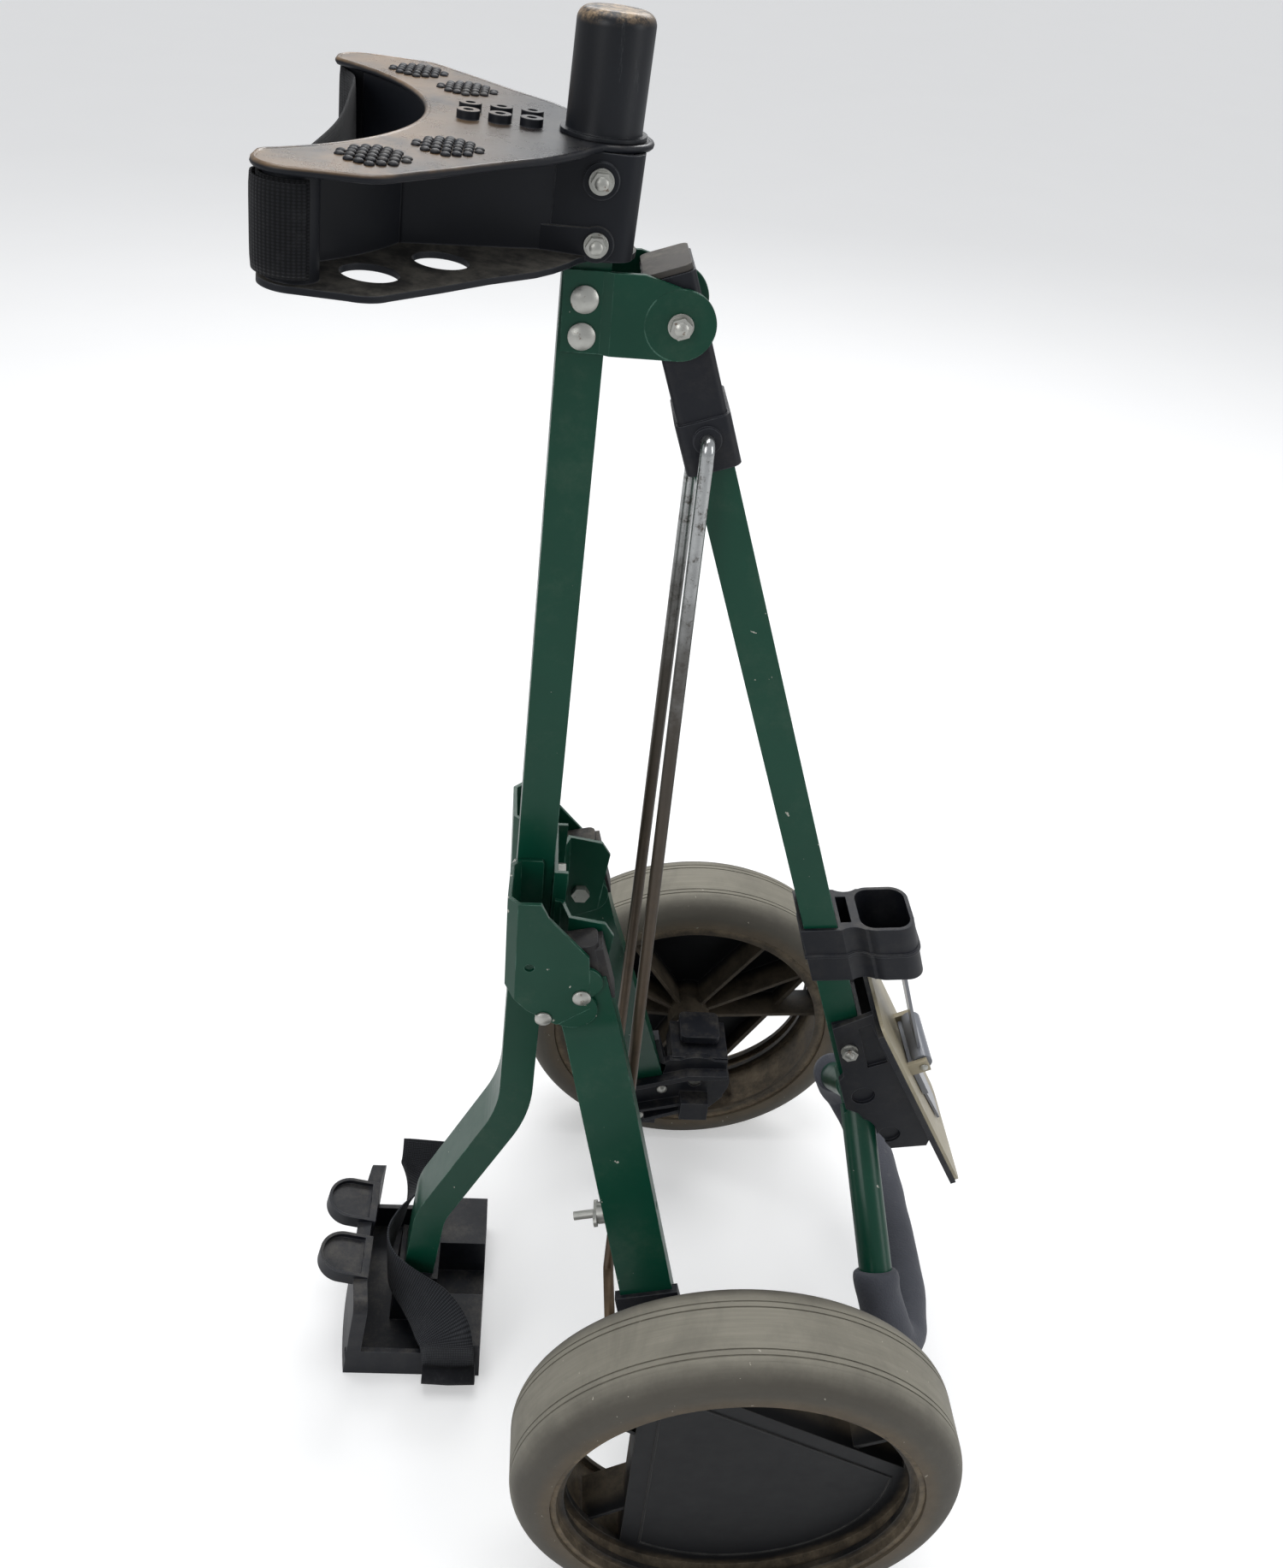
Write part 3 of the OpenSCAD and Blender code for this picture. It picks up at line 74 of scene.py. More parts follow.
class Graph:
    """One material's node graph, with short names for the nodes that the looks here need."""

    def __init__(self, name, edge_radius=0.7 * MM):
        self.material = bpy.data.materials.new(name)
        self.material.use_nodes = True
        self.tree = self.material.node_tree
        self.tree.nodes.clear()
        self.output = self.node("ShaderNodeOutputMaterial")
        self.shader = self.node("ShaderNodeBsdfPrincipled")
        self.link(self.shader.outputs[0], self.output.inputs["Surface"])
        coordinates = self.node("ShaderNodeTexCoord")
        self.place = coordinates.outputs["Object"]
        self.uv = coordinates.outputs["UV"]
        geometry = self.node("ShaderNodeNewGeometry")
        self.true_normal = geometry.outputs["Normal"]
        self.round_normal = None
        if edge_radius:
            bevel = self.node("ShaderNodeBevel", samples=4)
            bevel.inputs["Radius"].default_value = edge_radius
            self.round_normal = bevel.outputs[0]

    def node(self, kind, **settings):
        made = self.tree.nodes.new(kind)
        for key, value in settings.items():
            setattr(made, key, value)
        return made

    def link(self, source, target):
        self.tree.links.new(source, target)

    def put(self, target, value):
        """Links a socket to an input, or sets the input to a plain value."""
        if isinstance(value, bpy.types.NodeSocket):
            self.link(value, target)
        else:
            target.default_value = value

    def set(self, name, value):
        self.put(self.shader.inputs[name], value)

    def math(self, operation, a, b=0.0, clamp=False):
        made = self.node("ShaderNodeMath", operation=operation, use_clamp=clamp)
        self.put(made.inputs[0], a)
        self.put(made.inputs[1], b)
        return made.outputs[0]

    def scaled(self, factors, source=None):
        """The place coordinate stretched by one factor per axis."""
        made = self.node("ShaderNodeVectorMath", operation="MULTIPLY")
        self.put(made.inputs[0], source or self.place)
        made.inputs[1].default_value = factors
        return made.outputs[0]

    def noise(self, scale, detail=4.0, roughness=0.6, where=None, distortion=0.0):
        made = self.node("ShaderNodeTexNoise")
        self.put(made.inputs["Vector"], where or self.place)
        made.inputs["Scale"].default_value = scale
        made.inputs["Detail"].default_value = detail
        made.inputs["Roughness"].default_value = roughness
        made.inputs["Distortion"].default_value = distortion
        return made.outputs["Fac"]

    def cells(self, scale, where=None, feature="F1"):
        made = self.node("ShaderNodeTexVoronoi", feature=feature)
        self.put(made.inputs["Vector"], where or self.place)
        made.inputs["Scale"].default_value = scale
        return made.outputs["Distance"]

    def wave(self, scale, direction, where=None, distortion=0.0):
        made = self.node("ShaderNodeTexWave", bands_direction=direction)
        self.put(made.inputs["Vector"], where or self.place)
        made.inputs["Scale"].default_value = scale
        made.inputs["Distortion"].default_value = distortion
        return made.outputs["Fac"]

    def step(self, value, low, high, out_low=0.0, out_high=1.0):
        """Smooth rise from out_low to out_high while value goes from low to high."""
        made = self.node("ShaderNodeMapRange", interpolation_type="SMOOTHSTEP")
        self.put(made.inputs["Value"], value)
        names = ("From Min", "From Max", "To Min", "To Max")
        for name, number in zip(names, (low, high, out_low, out_high)):
            made.inputs[name].default_value = number
        return made.outputs[0]

    def axis(self, name, source=None):
        made = self.node("ShaderNodeSeparateXYZ")
        self.put(made.inputs[0], source or self.place)
        return made.outputs[name]

    def mix(self, share, a, b):
        made = self.node("ShaderNodeMix", data_type="RGBA")
        self.put(made.inputs["Factor"], share)
        self.put(made.inputs[6], a)
        self.put(made.inputs[7], b)
        return made.outputs[2]

    def blend(self, share, a, b):
        made = self.node("ShaderNodeMix", data_type="FLOAT")
        self.put(made.inputs["Factor"], share)
        self.put(made.inputs[2], a)
        self.put(made.inputs[3], b)
        return made.outputs[0]

    def dot(self, a, b):
        made = self.node("ShaderNodeVectorMath", operation="DOT_PRODUCT")
        self.put(made.inputs[0], a)
        self.put(made.inputs[1], b)
        return made.outputs["Value"]

    def facing_up(self):
        return self.step(self.dot(self.true_normal, (0, 0, 1)), 0.1, 0.9)

    def edges(self):
        """1 on sharp edges and 0 on open faces."""
        return self.step(self.dot(self.true_normal, self.round_normal), 0.985, 0.86)

    def bump(self, height, strength, distance=0.3 * MM):
        made = self.node("ShaderNodeBump")
        self.put(made.inputs["Height"], height)
        made.inputs["Strength"].default_value = strength
        made.inputs["Distance"].default_value = distance
        if self.round_normal:
            self.link(self.round_normal, made.inputs["Normal"])
        self.link(made.outputs[0], self.shader.inputs["Normal"])


def painted_steel():
    """Dark green enamel: soft gloss, a fine orange peel, pale worn edges, small chips and dust."""
    g = Graph("green_enamel", 0.9 * MM)
    cloud = g.noise(9, 5)
    paint = g.mix(cloud, srgb(3, 52, 38), srgb(10, 72, 53))
    worn = g.math("MULTIPLY", g.edges(), g.step(g.noise(60, 6, 0.7), 0.42, 0.62))
    paint = g.mix(g.math("MULTIPLY", worn, 0.75), paint, srgb(118, 164, 146))
    dusty = g.math("MULTIPLY", g.step(g.noise(24, 8, 0.75), 0.5, 0.78), 0.14)
    paint = g.mix(dusty, paint, srgb(96, 108, 92))
    chips = g.step(g.noise(150, 3, 0.5), 0.735, 0.76)
    paint = g.mix(chips, paint, srgb(168, 168, 158))
    g.set("Base Color", paint)
    g.set("Roughness", g.blend(g.noise(38, 6, 0.7), 0.22, 0.46))
    g.set("Specular IOR Level", 0.26)
    g.set("Coat Weight", 0.1)
    g.set("Coat Roughness", 0.2)
    g.bump(g.math("ADD", g.noise(420, 2), g.math("MULTIPLY", chips, -2.0)), 0.12, 0.12 * MM)
    return g.material


def moulded_plastic(name="black_plastic", base=(15, 17, 23), dust=0.26, gloss=0.34, edge=0.5):
    """Satin black moulded plastic: fine grain, grey-brown dust on top and lighter rubbed edges."""
    g = Graph(name, 0.9 * MM)
    tone = g.mix(g.noise(13, 5), srgb(*base), srgb(*[v * 1.32 + 4 for v in base]))
    rubbed = g.math("MULTIPLY", g.edges(), g.step(g.noise(70, 5), 0.3, 0.7, 0.25, edge))
    tone = g.mix(rubbed, tone, srgb(116, 118, 124))
    film = g.math("MULTIPLY", g.step(g.noise(31, 9, 0.8), 0.42, 0.72), dust)
    film = g.math("MULTIPLY", film, g.blend(g.facing_up(), 0.28, 1.0))
    tone = g.mix(film, tone, srgb(126, 119, 106))
    streak = g.step(g.noise(5, 9, 0.85, g.scaled((60, 9, 60))), 0.68, 0.76, 0.0, 0.22)
    tone = g.mix(streak, tone, srgb(148, 146, 142))
    g.set("Base Color", tone)
    g.set("Roughness", g.blend(g.noise(45, 6, 0.7), gloss, gloss + 0.24))
    g.set("Specular IOR Level", 0.3)
    g.bump(g.noise(900, 3, 0.6), 0.16, 0.12 * MM)
    return g.material


def worn_bracket_plastic_with_painted_highlight():
    """The fork bracket: black moulding, its top shelf a glossy brown that is partly rubbed wear and partly painted
    highlight in its light tan, and its lower shelf dusty.
    """
    g = Graph("fork_plastic", 0.9 * MM)
    centre, along, up = bracket_axes()
    tone = g.mix(g.noise(13, 5), srgb(13, 15, 20), srgb(26, 29, 36))
    rubbed = g.math("MULTIPLY", g.edges(), g.step(g.noise(60, 5), 0.3, 0.7, 0.2, 0.6))
    tone = g.mix(rubbed, tone, srgb(112, 114, 118))
    height = g.math("SUBTRACT", g.dot(g.place, up), centre.dot(up))
    run = g.math("SUBTRACT", g.dot(g.place, along), centre.dot(along))
    on_top = g.math("MULTIPLY", g.facing_up(), g.step(height, 20 * MM, 25 * MM))
    on_shelf = g.math("MULTIPLY", g.facing_up(), g.step(height, 10 * MM, 0.0))
    # Top shelf patch: brown rubbed wear, its lighter tan a painted highlight of the glossy top.
    worn = g.step(g.noise(13, 7, 0.7, distortion=0.6), 0.3, 0.52)
    wear_and_highlight_reach = g.step(run, 205 * MM, 120 * MM)
    # The pale tan end of this brown stands in for the highlight on the top shelf: painted highlight over worn
    # brown.
    brown = g.mix(g.noise(26, 6, 0.7), srgb(76, 56, 38), srgb(140, 112, 78))
    tone = g.mix(g.math("MULTIPLY", g.math("MULTIPLY", on_top, worn), wear_and_highlight_reach), tone, brown)
    film = g.math("MULTIPLY", on_top, g.step(g.noise(42, 9, 0.8), 0.42, 0.7, 0.0, 0.35))
    tone = g.mix(film, tone, srgb(92, 88, 82))
    dust = g.math("MULTIPLY", on_shelf, g.step(g.noise(55, 9, 0.8), 0.36, 0.66, 0.15, 0.8))
    tone = g.mix(dust, tone, srgb(120, 116, 108))
    g.set("Base Color", tone)
    g.set("Roughness", g.blend(on_top, 0.5, g.blend(g.noise(50, 6, 0.8), 0.18, 0.4)))
    g.set("Specular IOR Level", g.blend(on_top, 0.25, 0.45))
    g.bump(g.noise(900, 3, 0.6), 0.14, 0.12 * MM)
    return g.material


def scuffed_cap():
    """The cap of the upright: satin black with long rubs down its side and a scuffed tan dome."""
    g = Graph("cap_plastic", 0.9 * MM)
    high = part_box("post_cap")[1].z
    tone = g.mix(g.noise(15, 5), srgb(14, 16, 20), srgb(28, 31, 37))
    rubs = g.step(g.noise(6, 8, 0.8, g.scaled((9, 9, 1.2))), 0.58, 0.72, 0.0, 0.4)
    tone = g.mix(rubs, tone, srgb(120, 122, 124))
    dome = g.step(g.axis("Z"), high - 7 * MM, high - 1 * MM)
    scuff = g.math("MULTIPLY", dome, g.step(g.noise(48, 8, 0.8), 0.38, 0.6))
    tone = g.mix(scuff, tone, srgb(176, 150, 118))
    g.set("Base Color", tone)
    g.set("Roughness", g.blend(g.noise(40, 6), 0.26, 0.5))
    g.set("Specular IOR Level", 0.32)
    g.bump(g.noise(700, 3, 0.6), 0.14, 0.12 * MM)
    return g.material


def zinc_steel():
    """Zinc-plated steel, slightly dulled, with a few rust spots."""
    g = Graph("zinc_steel", 0.4 * MM)
    tone = g.mix(g.noise(80, 6), srgb(152, 152, 146), srgb(206, 206, 200))
    spots = g.step(g.noise(190, 5, 0.7), 0.6, 0.68, 0.0, 0.75)
    tone = g.mix(spots, tone, srgb(96, 66, 40))
    g.set("Base Color", tone)
    g.set("Metallic", 0.85)
    g.set("Roughness", g.blend(g.noise(120, 6), 0.26, 0.52))
    g.bump(g.noise(800, 4), 0.2, 0.1 * MM)
    return g.material


def rusty_rod():
    """Chromed rod, bright under its top bend and rusted brown below."""
    g = Graph("rod_steel", 0.0)
    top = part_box("rod_left")[1].z
    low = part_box("rod_left")[0].z
    height = g.axis("Z")
    waver = g.noise(22, 7, 0.7)
    share = g.step(g.math("ADD", height, g.math("MULTIPLY", waver, 0.16)), top - 0.10, top + 0.06)
    rust = g.mix(g.noise(90, 8, 0.8), srgb(58, 47, 36), srgb(112, 92, 70))
    rust = g.mix(g.step(height, low, top), rust, srgb(62, 60, 56))
    chrome = g.mix(g.step(g.noise(160, 7, 0.8), 0.5, 0.66), srgb(186, 188, 188), srgb(84, 78, 70))
    g.set("Base Color", g.mix(share, rust, chrome))
    g.set("Metallic", g.blend(share, 0.45, 0.95))
    g.set("Roughness", g.blend(share, 0.42, 0.2))
    g.bump(g.noise(500, 6, 0.8), 0.3, 0.1 * MM)
    return g.material


def webbing(name, tone, light):
    """Woven polypropylene webbing: ribs across, a finer warp along, worn fuzz. Needs the ribbon's own UVs."""
    g = Graph(name, 0.0)
    fine = g.scaled((1, 1, 1), g.uv)
    ribs = g.wave(160, "X", fine, 0.3)
    warp = g.wave(230, "Y", fine, 0.3)
    weave = g.math("MULTIPLY", g.math("ADD", ribs, 0.25), g.math("ADD", warp, 0.35))
    shade = g.mix(g.step(weave, 0.1, 1.2), tone, light)
    faded = g.step(g.noise(30, 8, 0.8), 0.5, 0.8, 0.0, 0.25)
    shade = g.mix(faded, shade, srgb(88, 88, 90))
    g.set("Base Color", shade)
    g.set("Roughness", 0.82)
    g.set("Specular IOR Level", 0.2)
    g.set("Sheen Weight", 0.06)
    g.bump(weave, 0.55, 0.5 * MM)
    return g.material


def closed_foam():
    """Matt closed-cell foam: small pores, soft dents and pale dust."""
    g = Graph("foam_skin", 0.0)
    tone = g.mix(g.noise(18, 6, 0.7), srgb(50, 52, 60), srgb(82, 84, 92))
    dust = g.step(g.noise(70, 9, 0.85), 0.55, 0.75, 0.0, 0.3)
    tone = g.mix(dust, tone, srgb(136, 134, 130))
    g.set("Base Color", tone)
    g.set("Roughness", 0.86)
    g.set("Sheen Weight", 0.1)
    pores = g.math("ADD", g.cells(650), g.math("MULTIPLY", g.noise(60, 4), 0.8))
    g.bump(pores, 0.4, 0.5 * MM)
    return g.material


def worn_tyre(side):
    """Solid grey-beige tyre: streaks round the tread, dark scuffs, brown shoulders and inner lip."""
    g = Graph("tyre_rubber_" + side, 0.5 * MM)
    centre = WHEEL_CENTRE[side]
    shift = g.node("ShaderNodeVectorMath", operation="SUBTRACT")
    g.put(shift.inputs[0], g.place)
    shift.inputs[1].default_value = centre
    local = shift.outputs[0]
    across = g.math("ABSOLUTE", g.axis("Y", local))
    radius = g.node("ShaderNodeVectorMath", operation="LENGTH")
    g.put(radius.inputs[0], g.scaled((1, 0, 1), local))
    streaks = g.noise(1, 7, 0.7, g.scaled((14, 330, 14), local))
    tone = g.mix(streaks, srgb(112, 108, 97), srgb(150, 146, 133))
    cloud = g.step(g.noise(17, 6, 0.7, local, 0.5), 0.4, 0.68, 0.0, 0.5)
    tone = g.mix(cloud, tone, srgb(104, 101, 92))
    shoulder = g.step(g.math("ADD", across, g.math("MULTIPLY", g.noise(30, 6, 0.7, local), 9 * MM)),
                      TYRE_HALF - 14 * MM, TYRE_HALF + 2 * MM, 0.0, 0.8)
    tone = g.mix(shoulder, tone, srgb(58, 54, 48))
    wavy = g.math("MULTIPLY", g.noise(24, 6, 0.8, local), 10 * MM)
    inward = g.math("ADD", radius.outputs["Value"], wavy)
    lip = g.step(inward, WHEEL_R - 9 * MM, WHEEL_R - 21 * MM, 0.0, 0.85)
    tone = g.mix(lip, tone, g.mix(g.noise(36, 6, 0.7, local), srgb(52, 46, 38), srgb(112, 99, 80)))
    scuffs = g.step(g.noise(1, 8, 0.8, g.scaled((26, 140, 26), local)), 0.66, 0.74, 0.0, 0.6)
    tone = g.mix(scuffs, tone, srgb(70, 68, 64))
    specks = g.step(g.noise(240, 3, 0.5, local), 0.73, 0.76, 0.0, 0.5)
    tone = g.mix(specks, tone, srgb(206, 200, 184))
    g.set("Base Color", tone)
    g.set("Roughness", g.blend(g.noise(40, 6, 0.7, local), 0.55, 0.78))
    g.set("Specular IOR Level", 0.35)
    g.bump(g.math("ADD", g.math("MULTIPLY", streaks, 0.8), g.noise(500, 4, 0.7, local)), 0.28, 0.25 * MM)
    return g.material


def rim_plastic(side):
    """Rim: satin black face, the barrel and the ribs behind it filmed with tan dust."""
    g = Graph("rim_plastic_" + side, 0.9 * MM)
    centre = WHEEL_CENTRE[side]
    shift = g.node("ShaderNodeVectorMath", operation="SUBTRACT")
    g.put(shift.inputs[0], g.place)
    shift.inputs[1].default_value = centre
    local = shift.outputs[0]
    radius = g.node("ShaderNodeVectorMath", operation="LENGTH")
    g.put(radius.inputs[0], g.scaled((1, 0, 1), local))
    rim_r = (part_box("rim_" + side)[1].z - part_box("rim_" + side)[0].z) / 2
    tone = g.mix(g.noise(14, 5, 0.6, local), srgb(12, 13, 15), srgb(22, 23, 26))
    rubbed = g.math("MULTIPLY", g.edges(), g.step(g.noise(60, 5, 0.6, local), 0.3, 0.7, 0.1, 0.5))
    tone = g.mix(rubbed, tone, srgb(110, 108, 102))
    waver = g.math("MULTIPLY", g.noise(19, 7, 0.75, local), 16 * MM)
    barrel = g.step(g.math("ADD", radius.outputs["Value"], waver), rim_r - 4 * MM, rim_r + 9 * MM)
    inside = g.step(g.math("MULTIPLY", g.axis("Y", local), -SIDE_SIGN[side]), -9 * MM, 4 * MM, 0.0, 0.32)
    film = g.math("MAXIMUM", g.math("MULTIPLY", barrel, 0.8), inside)
    film = g.math("MULTIPLY", film, g.step(g.noise(46, 9, 0.8, local), 0.32, 0.62, 0.35, 1.0))
    dust = g.mix(g.noise(12, 5, 0.6, local), srgb(120, 102, 78), srgb(148, 136, 116))
    tone = g.mix(film, tone, dust)
    g.set("Base Color", tone)
    g.set("Roughness", g.blend(film, g.blend(g.noise(60, 6, 0.6, local), 0.4, 0.6), 0.85))
    g.set("Specular IOR Level", 0.24)
    g.bump(g.noise(800, 3, 0.6, local), 0.16, 0.15 * MM)
    return g.material


def card_plastic():
    """Aged beige sheet of the scorecard holder, with dusty streaks and darker stains."""
    g = Graph("card_plastic", 0.5 * MM)
    tone = g.mix(g.noise(14, 6, 0.7), srgb(134, 124, 100), srgb(176, 168, 146))
    stain = g.step(g.noise(32, 8, 0.8, distortion=0.5), 0.5, 0.7, 0.0, 0.55)
    tone = g.mix(stain, tone, srgb(98, 88, 66))
    chalk = g.step(g.noise(60, 9, 0.85), 0.58, 0.76, 0.0, 0.6)
    tone = g.mix(chalk, tone, srgb(206, 202, 190))
    g.set("Base Color", tone)
    g.set("Roughness", g.blend(g.noise(50, 6), 0.3, 0.6))
    g.bump(g.noise(300, 5, 0.7), 0.2, 0.15 * MM)
    return g.material


def clip_plastic():
    """Grey glossy sprung clip, hazed and scratched."""
    g = Graph("clip_plastic", 0.5 * MM)
    tone = g.mix(g.noise(22, 6, 0.7), srgb(96, 99, 108), srgb(134, 137, 142))
    scratch = g.step(g.noise(7, 9, 0.85, g.scaled((12, 60, 12))), 0.62, 0.72, 0.0, 0.6)
    tone = g.mix(scratch, tone, srgb(190, 190, 186))
    g.set("Base Color", tone)
    g.set("Roughness", g.blend(g.noise(60, 6), 0.2, 0.45))
    g.set("Coat Weight", 0.3)
    g.bump(g.noise(400, 4, 0.7), 0.15, 0.1 * MM)
    return g.material


def bush_plastic():
    """Off-white bearing plastic with grey dirt."""
    g = Graph("bush_plastic", 0.4 * MM)
    tone = g.mix(g.noise(60, 7, 0.75), srgb(120, 116, 104), srgb(196, 192, 180))
    g.set("Base Color", tone)
    g.set("Roughness", 0.5)
    g.bump(g.noise(500, 4), 0.2, 0.1 * MM)
    return g.material


# ---- Mesh tools -----------------------------------------------------------------------


def smooth_path(points, per_span=8, closed=False):
    """Points of a Catmull-Rom curve through the given points."""
    points = [Vector(p) for p in points]
    count = len(points)
    spans = count if closed else count - 1
    made = []
    for i in range(spans):
        if closed:
            a, b, c, d = (points[(i + k) % count] for k in (-1, 0, 1, 2))
        else:
            a, b = points[max(i - 1, 0)], points[i]
            c, d = points[i + 1], points[min(i + 2, count - 1)]
        for k in range(per_span):
            t = k / per_span
            made.append(0.5 * (2 * b + (c - a) * t + (2 * a - 5 * b + 4 * c - d) * t * t
                               + (3 * b - a - 3 * c + d) * t ** 3))
    if not closed:
        made.append(points[-1])
    return made


def mesh_piece(name, bm, material, body, smooth=True):
    """Turns a bmesh into a piece that rides on a CAD body."""
    bmesh.ops.recalc_face_normals(bm, faces=bm.faces)
    mesh = bpy.data.meshes.new(name)
    bm.to_mesh(mesh)
    bm.free()
    for polygon in mesh.polygons:
        polygon.use_smooth = smooth
    mesh.materials.append(material)
    made = bpy.data.objects.new(name, mesh)
    bpy.context.scene.collection.objects.link(made)
    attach(made, body)
    return made


def sweep(bm, points, radius, segments=16, closed=False):
    """Adds a round tube along points; radius is a number or a function of the share along the path."""
    count = len(points)
    rings = []
    normal = None
    for i, point in enumerate(points):
        after = points[(i + 1) % count] if closed or i < count - 1 else point
        before = points[i - 1] if closed or i > 0 else point
        along = (after - before).normalized()
        if normal is None:
            normal = along.orthogonal().normalized()
        normal = (normal - normal.dot(along) * along).normalized()
        across = along.cross(normal)
        r = radius(i / (count - 1)) if callable(radius) else radius
        rings.append([
            bm.verts.new(point + r * (math.cos(a) * normal + math.sin(a) * across))
            for a in (2 * math.pi * k / segments for k in range(segments))
        ])
    pairs = list(zip(rings, rings[1:]))
    if closed:
        pairs.append((rings[-1], rings[0]))
    for one, two in pairs:
        offset = 0
        if closed and one is rings[-1]:
            offset = min(range(segments), key=lambda k: (two[k].co - one[0].co).length)
        for k in range(segments):
            bm.faces.new((one[k], one[(k + 1) % segments],
                          two[(k + 1 + offset) % segments], two[(k + offset) % segments]))
    if not closed:
        bm.faces.new(rings[0][::-1])
        bm.faces.new(rings[-1])
    return rings


def ribbon(bm, stations, width, thickness, per_span=10, columns=8):
    """Adds a flat band through stations of (point, width direction), with UVs in metres along and across."""
    centres = smooth_path([s[0] for s in stations], per_span)
    sides = [v.normalized() for v in smooth_path([s[1] for s in stations], per_span)]
    layer = bm.loops.layers.uv.verify()
    rows = []
    run = 0.0
    for i, centre in enumerate(centres):
        along = (centres[min(i + 1, len(centres) - 1)] - centres[max(i - 1, 0)]).normalized()
        side = (sides[i] - sides[i].dot(along) * along).normalized()
        normal = along.cross(side)
        if i:
            run += (centre - centres[i - 1]).length
        row = []
        for face in (1, -1):
            for k in range(columns + 1):
                t = (k / columns - 0.5) * face
                crown = thickness / 2 * (1 - 0.45 * (2 * abs(t)) ** 6)
                vert = bm.verts.new(centre + side * t * width + normal * crown * face)
                row.append((vert, (run, t * width)))
        rows.append(row)
    size = len(rows[0])
    for one, two in zip(rows, rows[1:]):
        for k in range(size):
            corners = (one[k], one[(k + 1) % size], two[(k + 1) % size], two[k])
            face = bm.faces.new([c[0] for c in corners])
            for loop, corner in zip(face.loops, corners):
                loop[layer].uv = corner[1]
    bm.faces.new([c[0] for c in rows[0]][::-1])
    bm.faces.new([c[0] for c in rows[-1]])


def outer_loop(node, direction):
    """Outline of the broadest flat face of a CAD node that looks along direction."""
    bm = bmesh.new()
    bm.from_mesh(nodes[node].data)
    bmesh.ops.remove_doubles(bm, verts=bm.verts, dist=0.01 * MM)
    bm.normal_update()
    areas = {}
    facing = [f for f in bm.faces if f.normal.dot(direction) > 0.9999]
    for f in facing:
        level = round(f.calc_center_median().dot(direction) / MM)
        areas[level] = areas.get(level, 0) + f.calc_area()
    broadest = max(areas, key=areas.get)
    flat = {f for f in facing if abs(f.calc_center_median().dot(direction) / MM - broadest) < 0.8}
    edges = [e for e in bm.edges if sum(f in flat for f in e.link_faces) == 1]
    around = {}
    for e in edges:
        for v in e.verts:
            around.setdefault(v, []).append(e.other_vert(v))
    loops = []
    left = set(around)
    while left:
        start = left.pop()
        loop = [start]
        while True:
            ahead = [v for v in around[loop[-1]] if v in left]
            if not ahead:
                break
            loop.append(ahead[0])
            left.discard(ahead[0])
        loops.append([v.co.copy() for v in loop])
    bm.free()
    return max(loops, key=lambda points: sum((a - b).length for a, b in zip(points, points[1:])))


def even_steps(points, step):
    """A closed outline walked in even steps."""
    points = points + [points[0]]
    made = []
    spare = 0.0
    for a, b in zip(points, points[1:]):
        length = (b - a).length
        at = spare
        while at < length:
            made.append(a.lerp(b, at / length))
            at += step
        spare = at - length
    return made


# ---- CAD nodes ------------------------------------------------------------------------


def finish_cad_nodes():
    """Gives each CAD node that stays its material."""
    green = painted_steel()
    black = moulded_plastic()
    zinc = zinc_steel()
    plug = moulded_plastic("grey_plug", (56, 53, 50), 0.6, 0.5, 0.3)
    leg_plug = moulded_plastic("leg_plug", (30, 29, 30), 0.5, 0.45, 0.3)
    finishes = {
        "green_paint": green, "black_plastic": black, "zinc_steel": zinc, "grey_plug": plug,
        "card_plate": card_plastic(), "clip_plastic": clip_plastic(), "bush_plastic": bush_plastic(),
        "rusty_rod": rusty_rod(),
    }
    special = {"upper_bracket": worn_bracket_plastic_with_painted_highlight(), "post_cap": scuffed_cap(),
               "leg_plug_left": leg_plug, "leg_plug_right": leg_plug}
    for side in ("left", "right"):
        special["tyre_" + side] = worn_tyre(side)
        special["rim_" + side] = rim_plastic(side)
    for part in frame["record"]["subparts"]:
        name = part["node"]
        material = special.get(name) or finishes.get(part["material_slot"])
        if material:
            mesh = nodes[name].data
            mesh.materials.clear()
            mesh.materials.append(material)
    return finishes, special


# ---- Straps ---------------------------------------------------------------------------


def bracket_axes():
    """Origin and axes of the fork bracket: its throat edge runs in its own leaning frame."""
    mount = next(m for m in frame["record"]["mounts"] if m["name"] == "bag_throat")
    up = Vector(mount["axis"]).normalized()
    along = Vector((0, 1, 0)).cross(up).normalized()
    return Vector(mount["pos_m"]), along, up


def upper_strap(material):
    """Wide webbing round both fork tips and slack across the mouth, its free end sewn back at one tip."""
    centre, along, up = bracket_axes()
    tip_n, tip_y, wrap, throat_n = -126, 124, 13.4, -224.5

    def at(n, y, lift=0.0):
        return centre + along * (n - throat_n) * MM + up * (3 + lift) * MM + Vector((0, y * MM, 0))

    def lean(degrees):
        return Matrix.Rotation(math.radians(degrees), 3, along) @ up

    def round_tip(side, radius, angle):
        turn = math.radians(angle)
        return at(tip_n + radius * math.cos(turn), side * (tip_y + radius * math.sin(turn)))

    def half(side, tilt):
        stations = [(round_tip(side, wrap, a), up) for a in range(50, 230, 20)]
        stations += [(at(-129, side * 98), lean(tilt * 0.4)), (at(-126, side * 62, -1), lean(tilt))]
        return stations

    bm = bmesh.new()
    near, far = half(-1, 26), half(1, 22)
    ribbon(bm, near + [(at(-124, 0, -3), lean(4))] + far[::-1], 39 * MM, 2.0 * MM)
    tail = [(round_tip(-1, wrap + 2.6, a), up) for a in range(60, 220, 20)]
    ribbon(bm, tail + [(at(-133, -100, -2), lean(6))], 37 * MM, 1.8 * MM)
    made = mesh_piece("fork_webbing", bm, material, "frame")
    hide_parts("upper_strap")


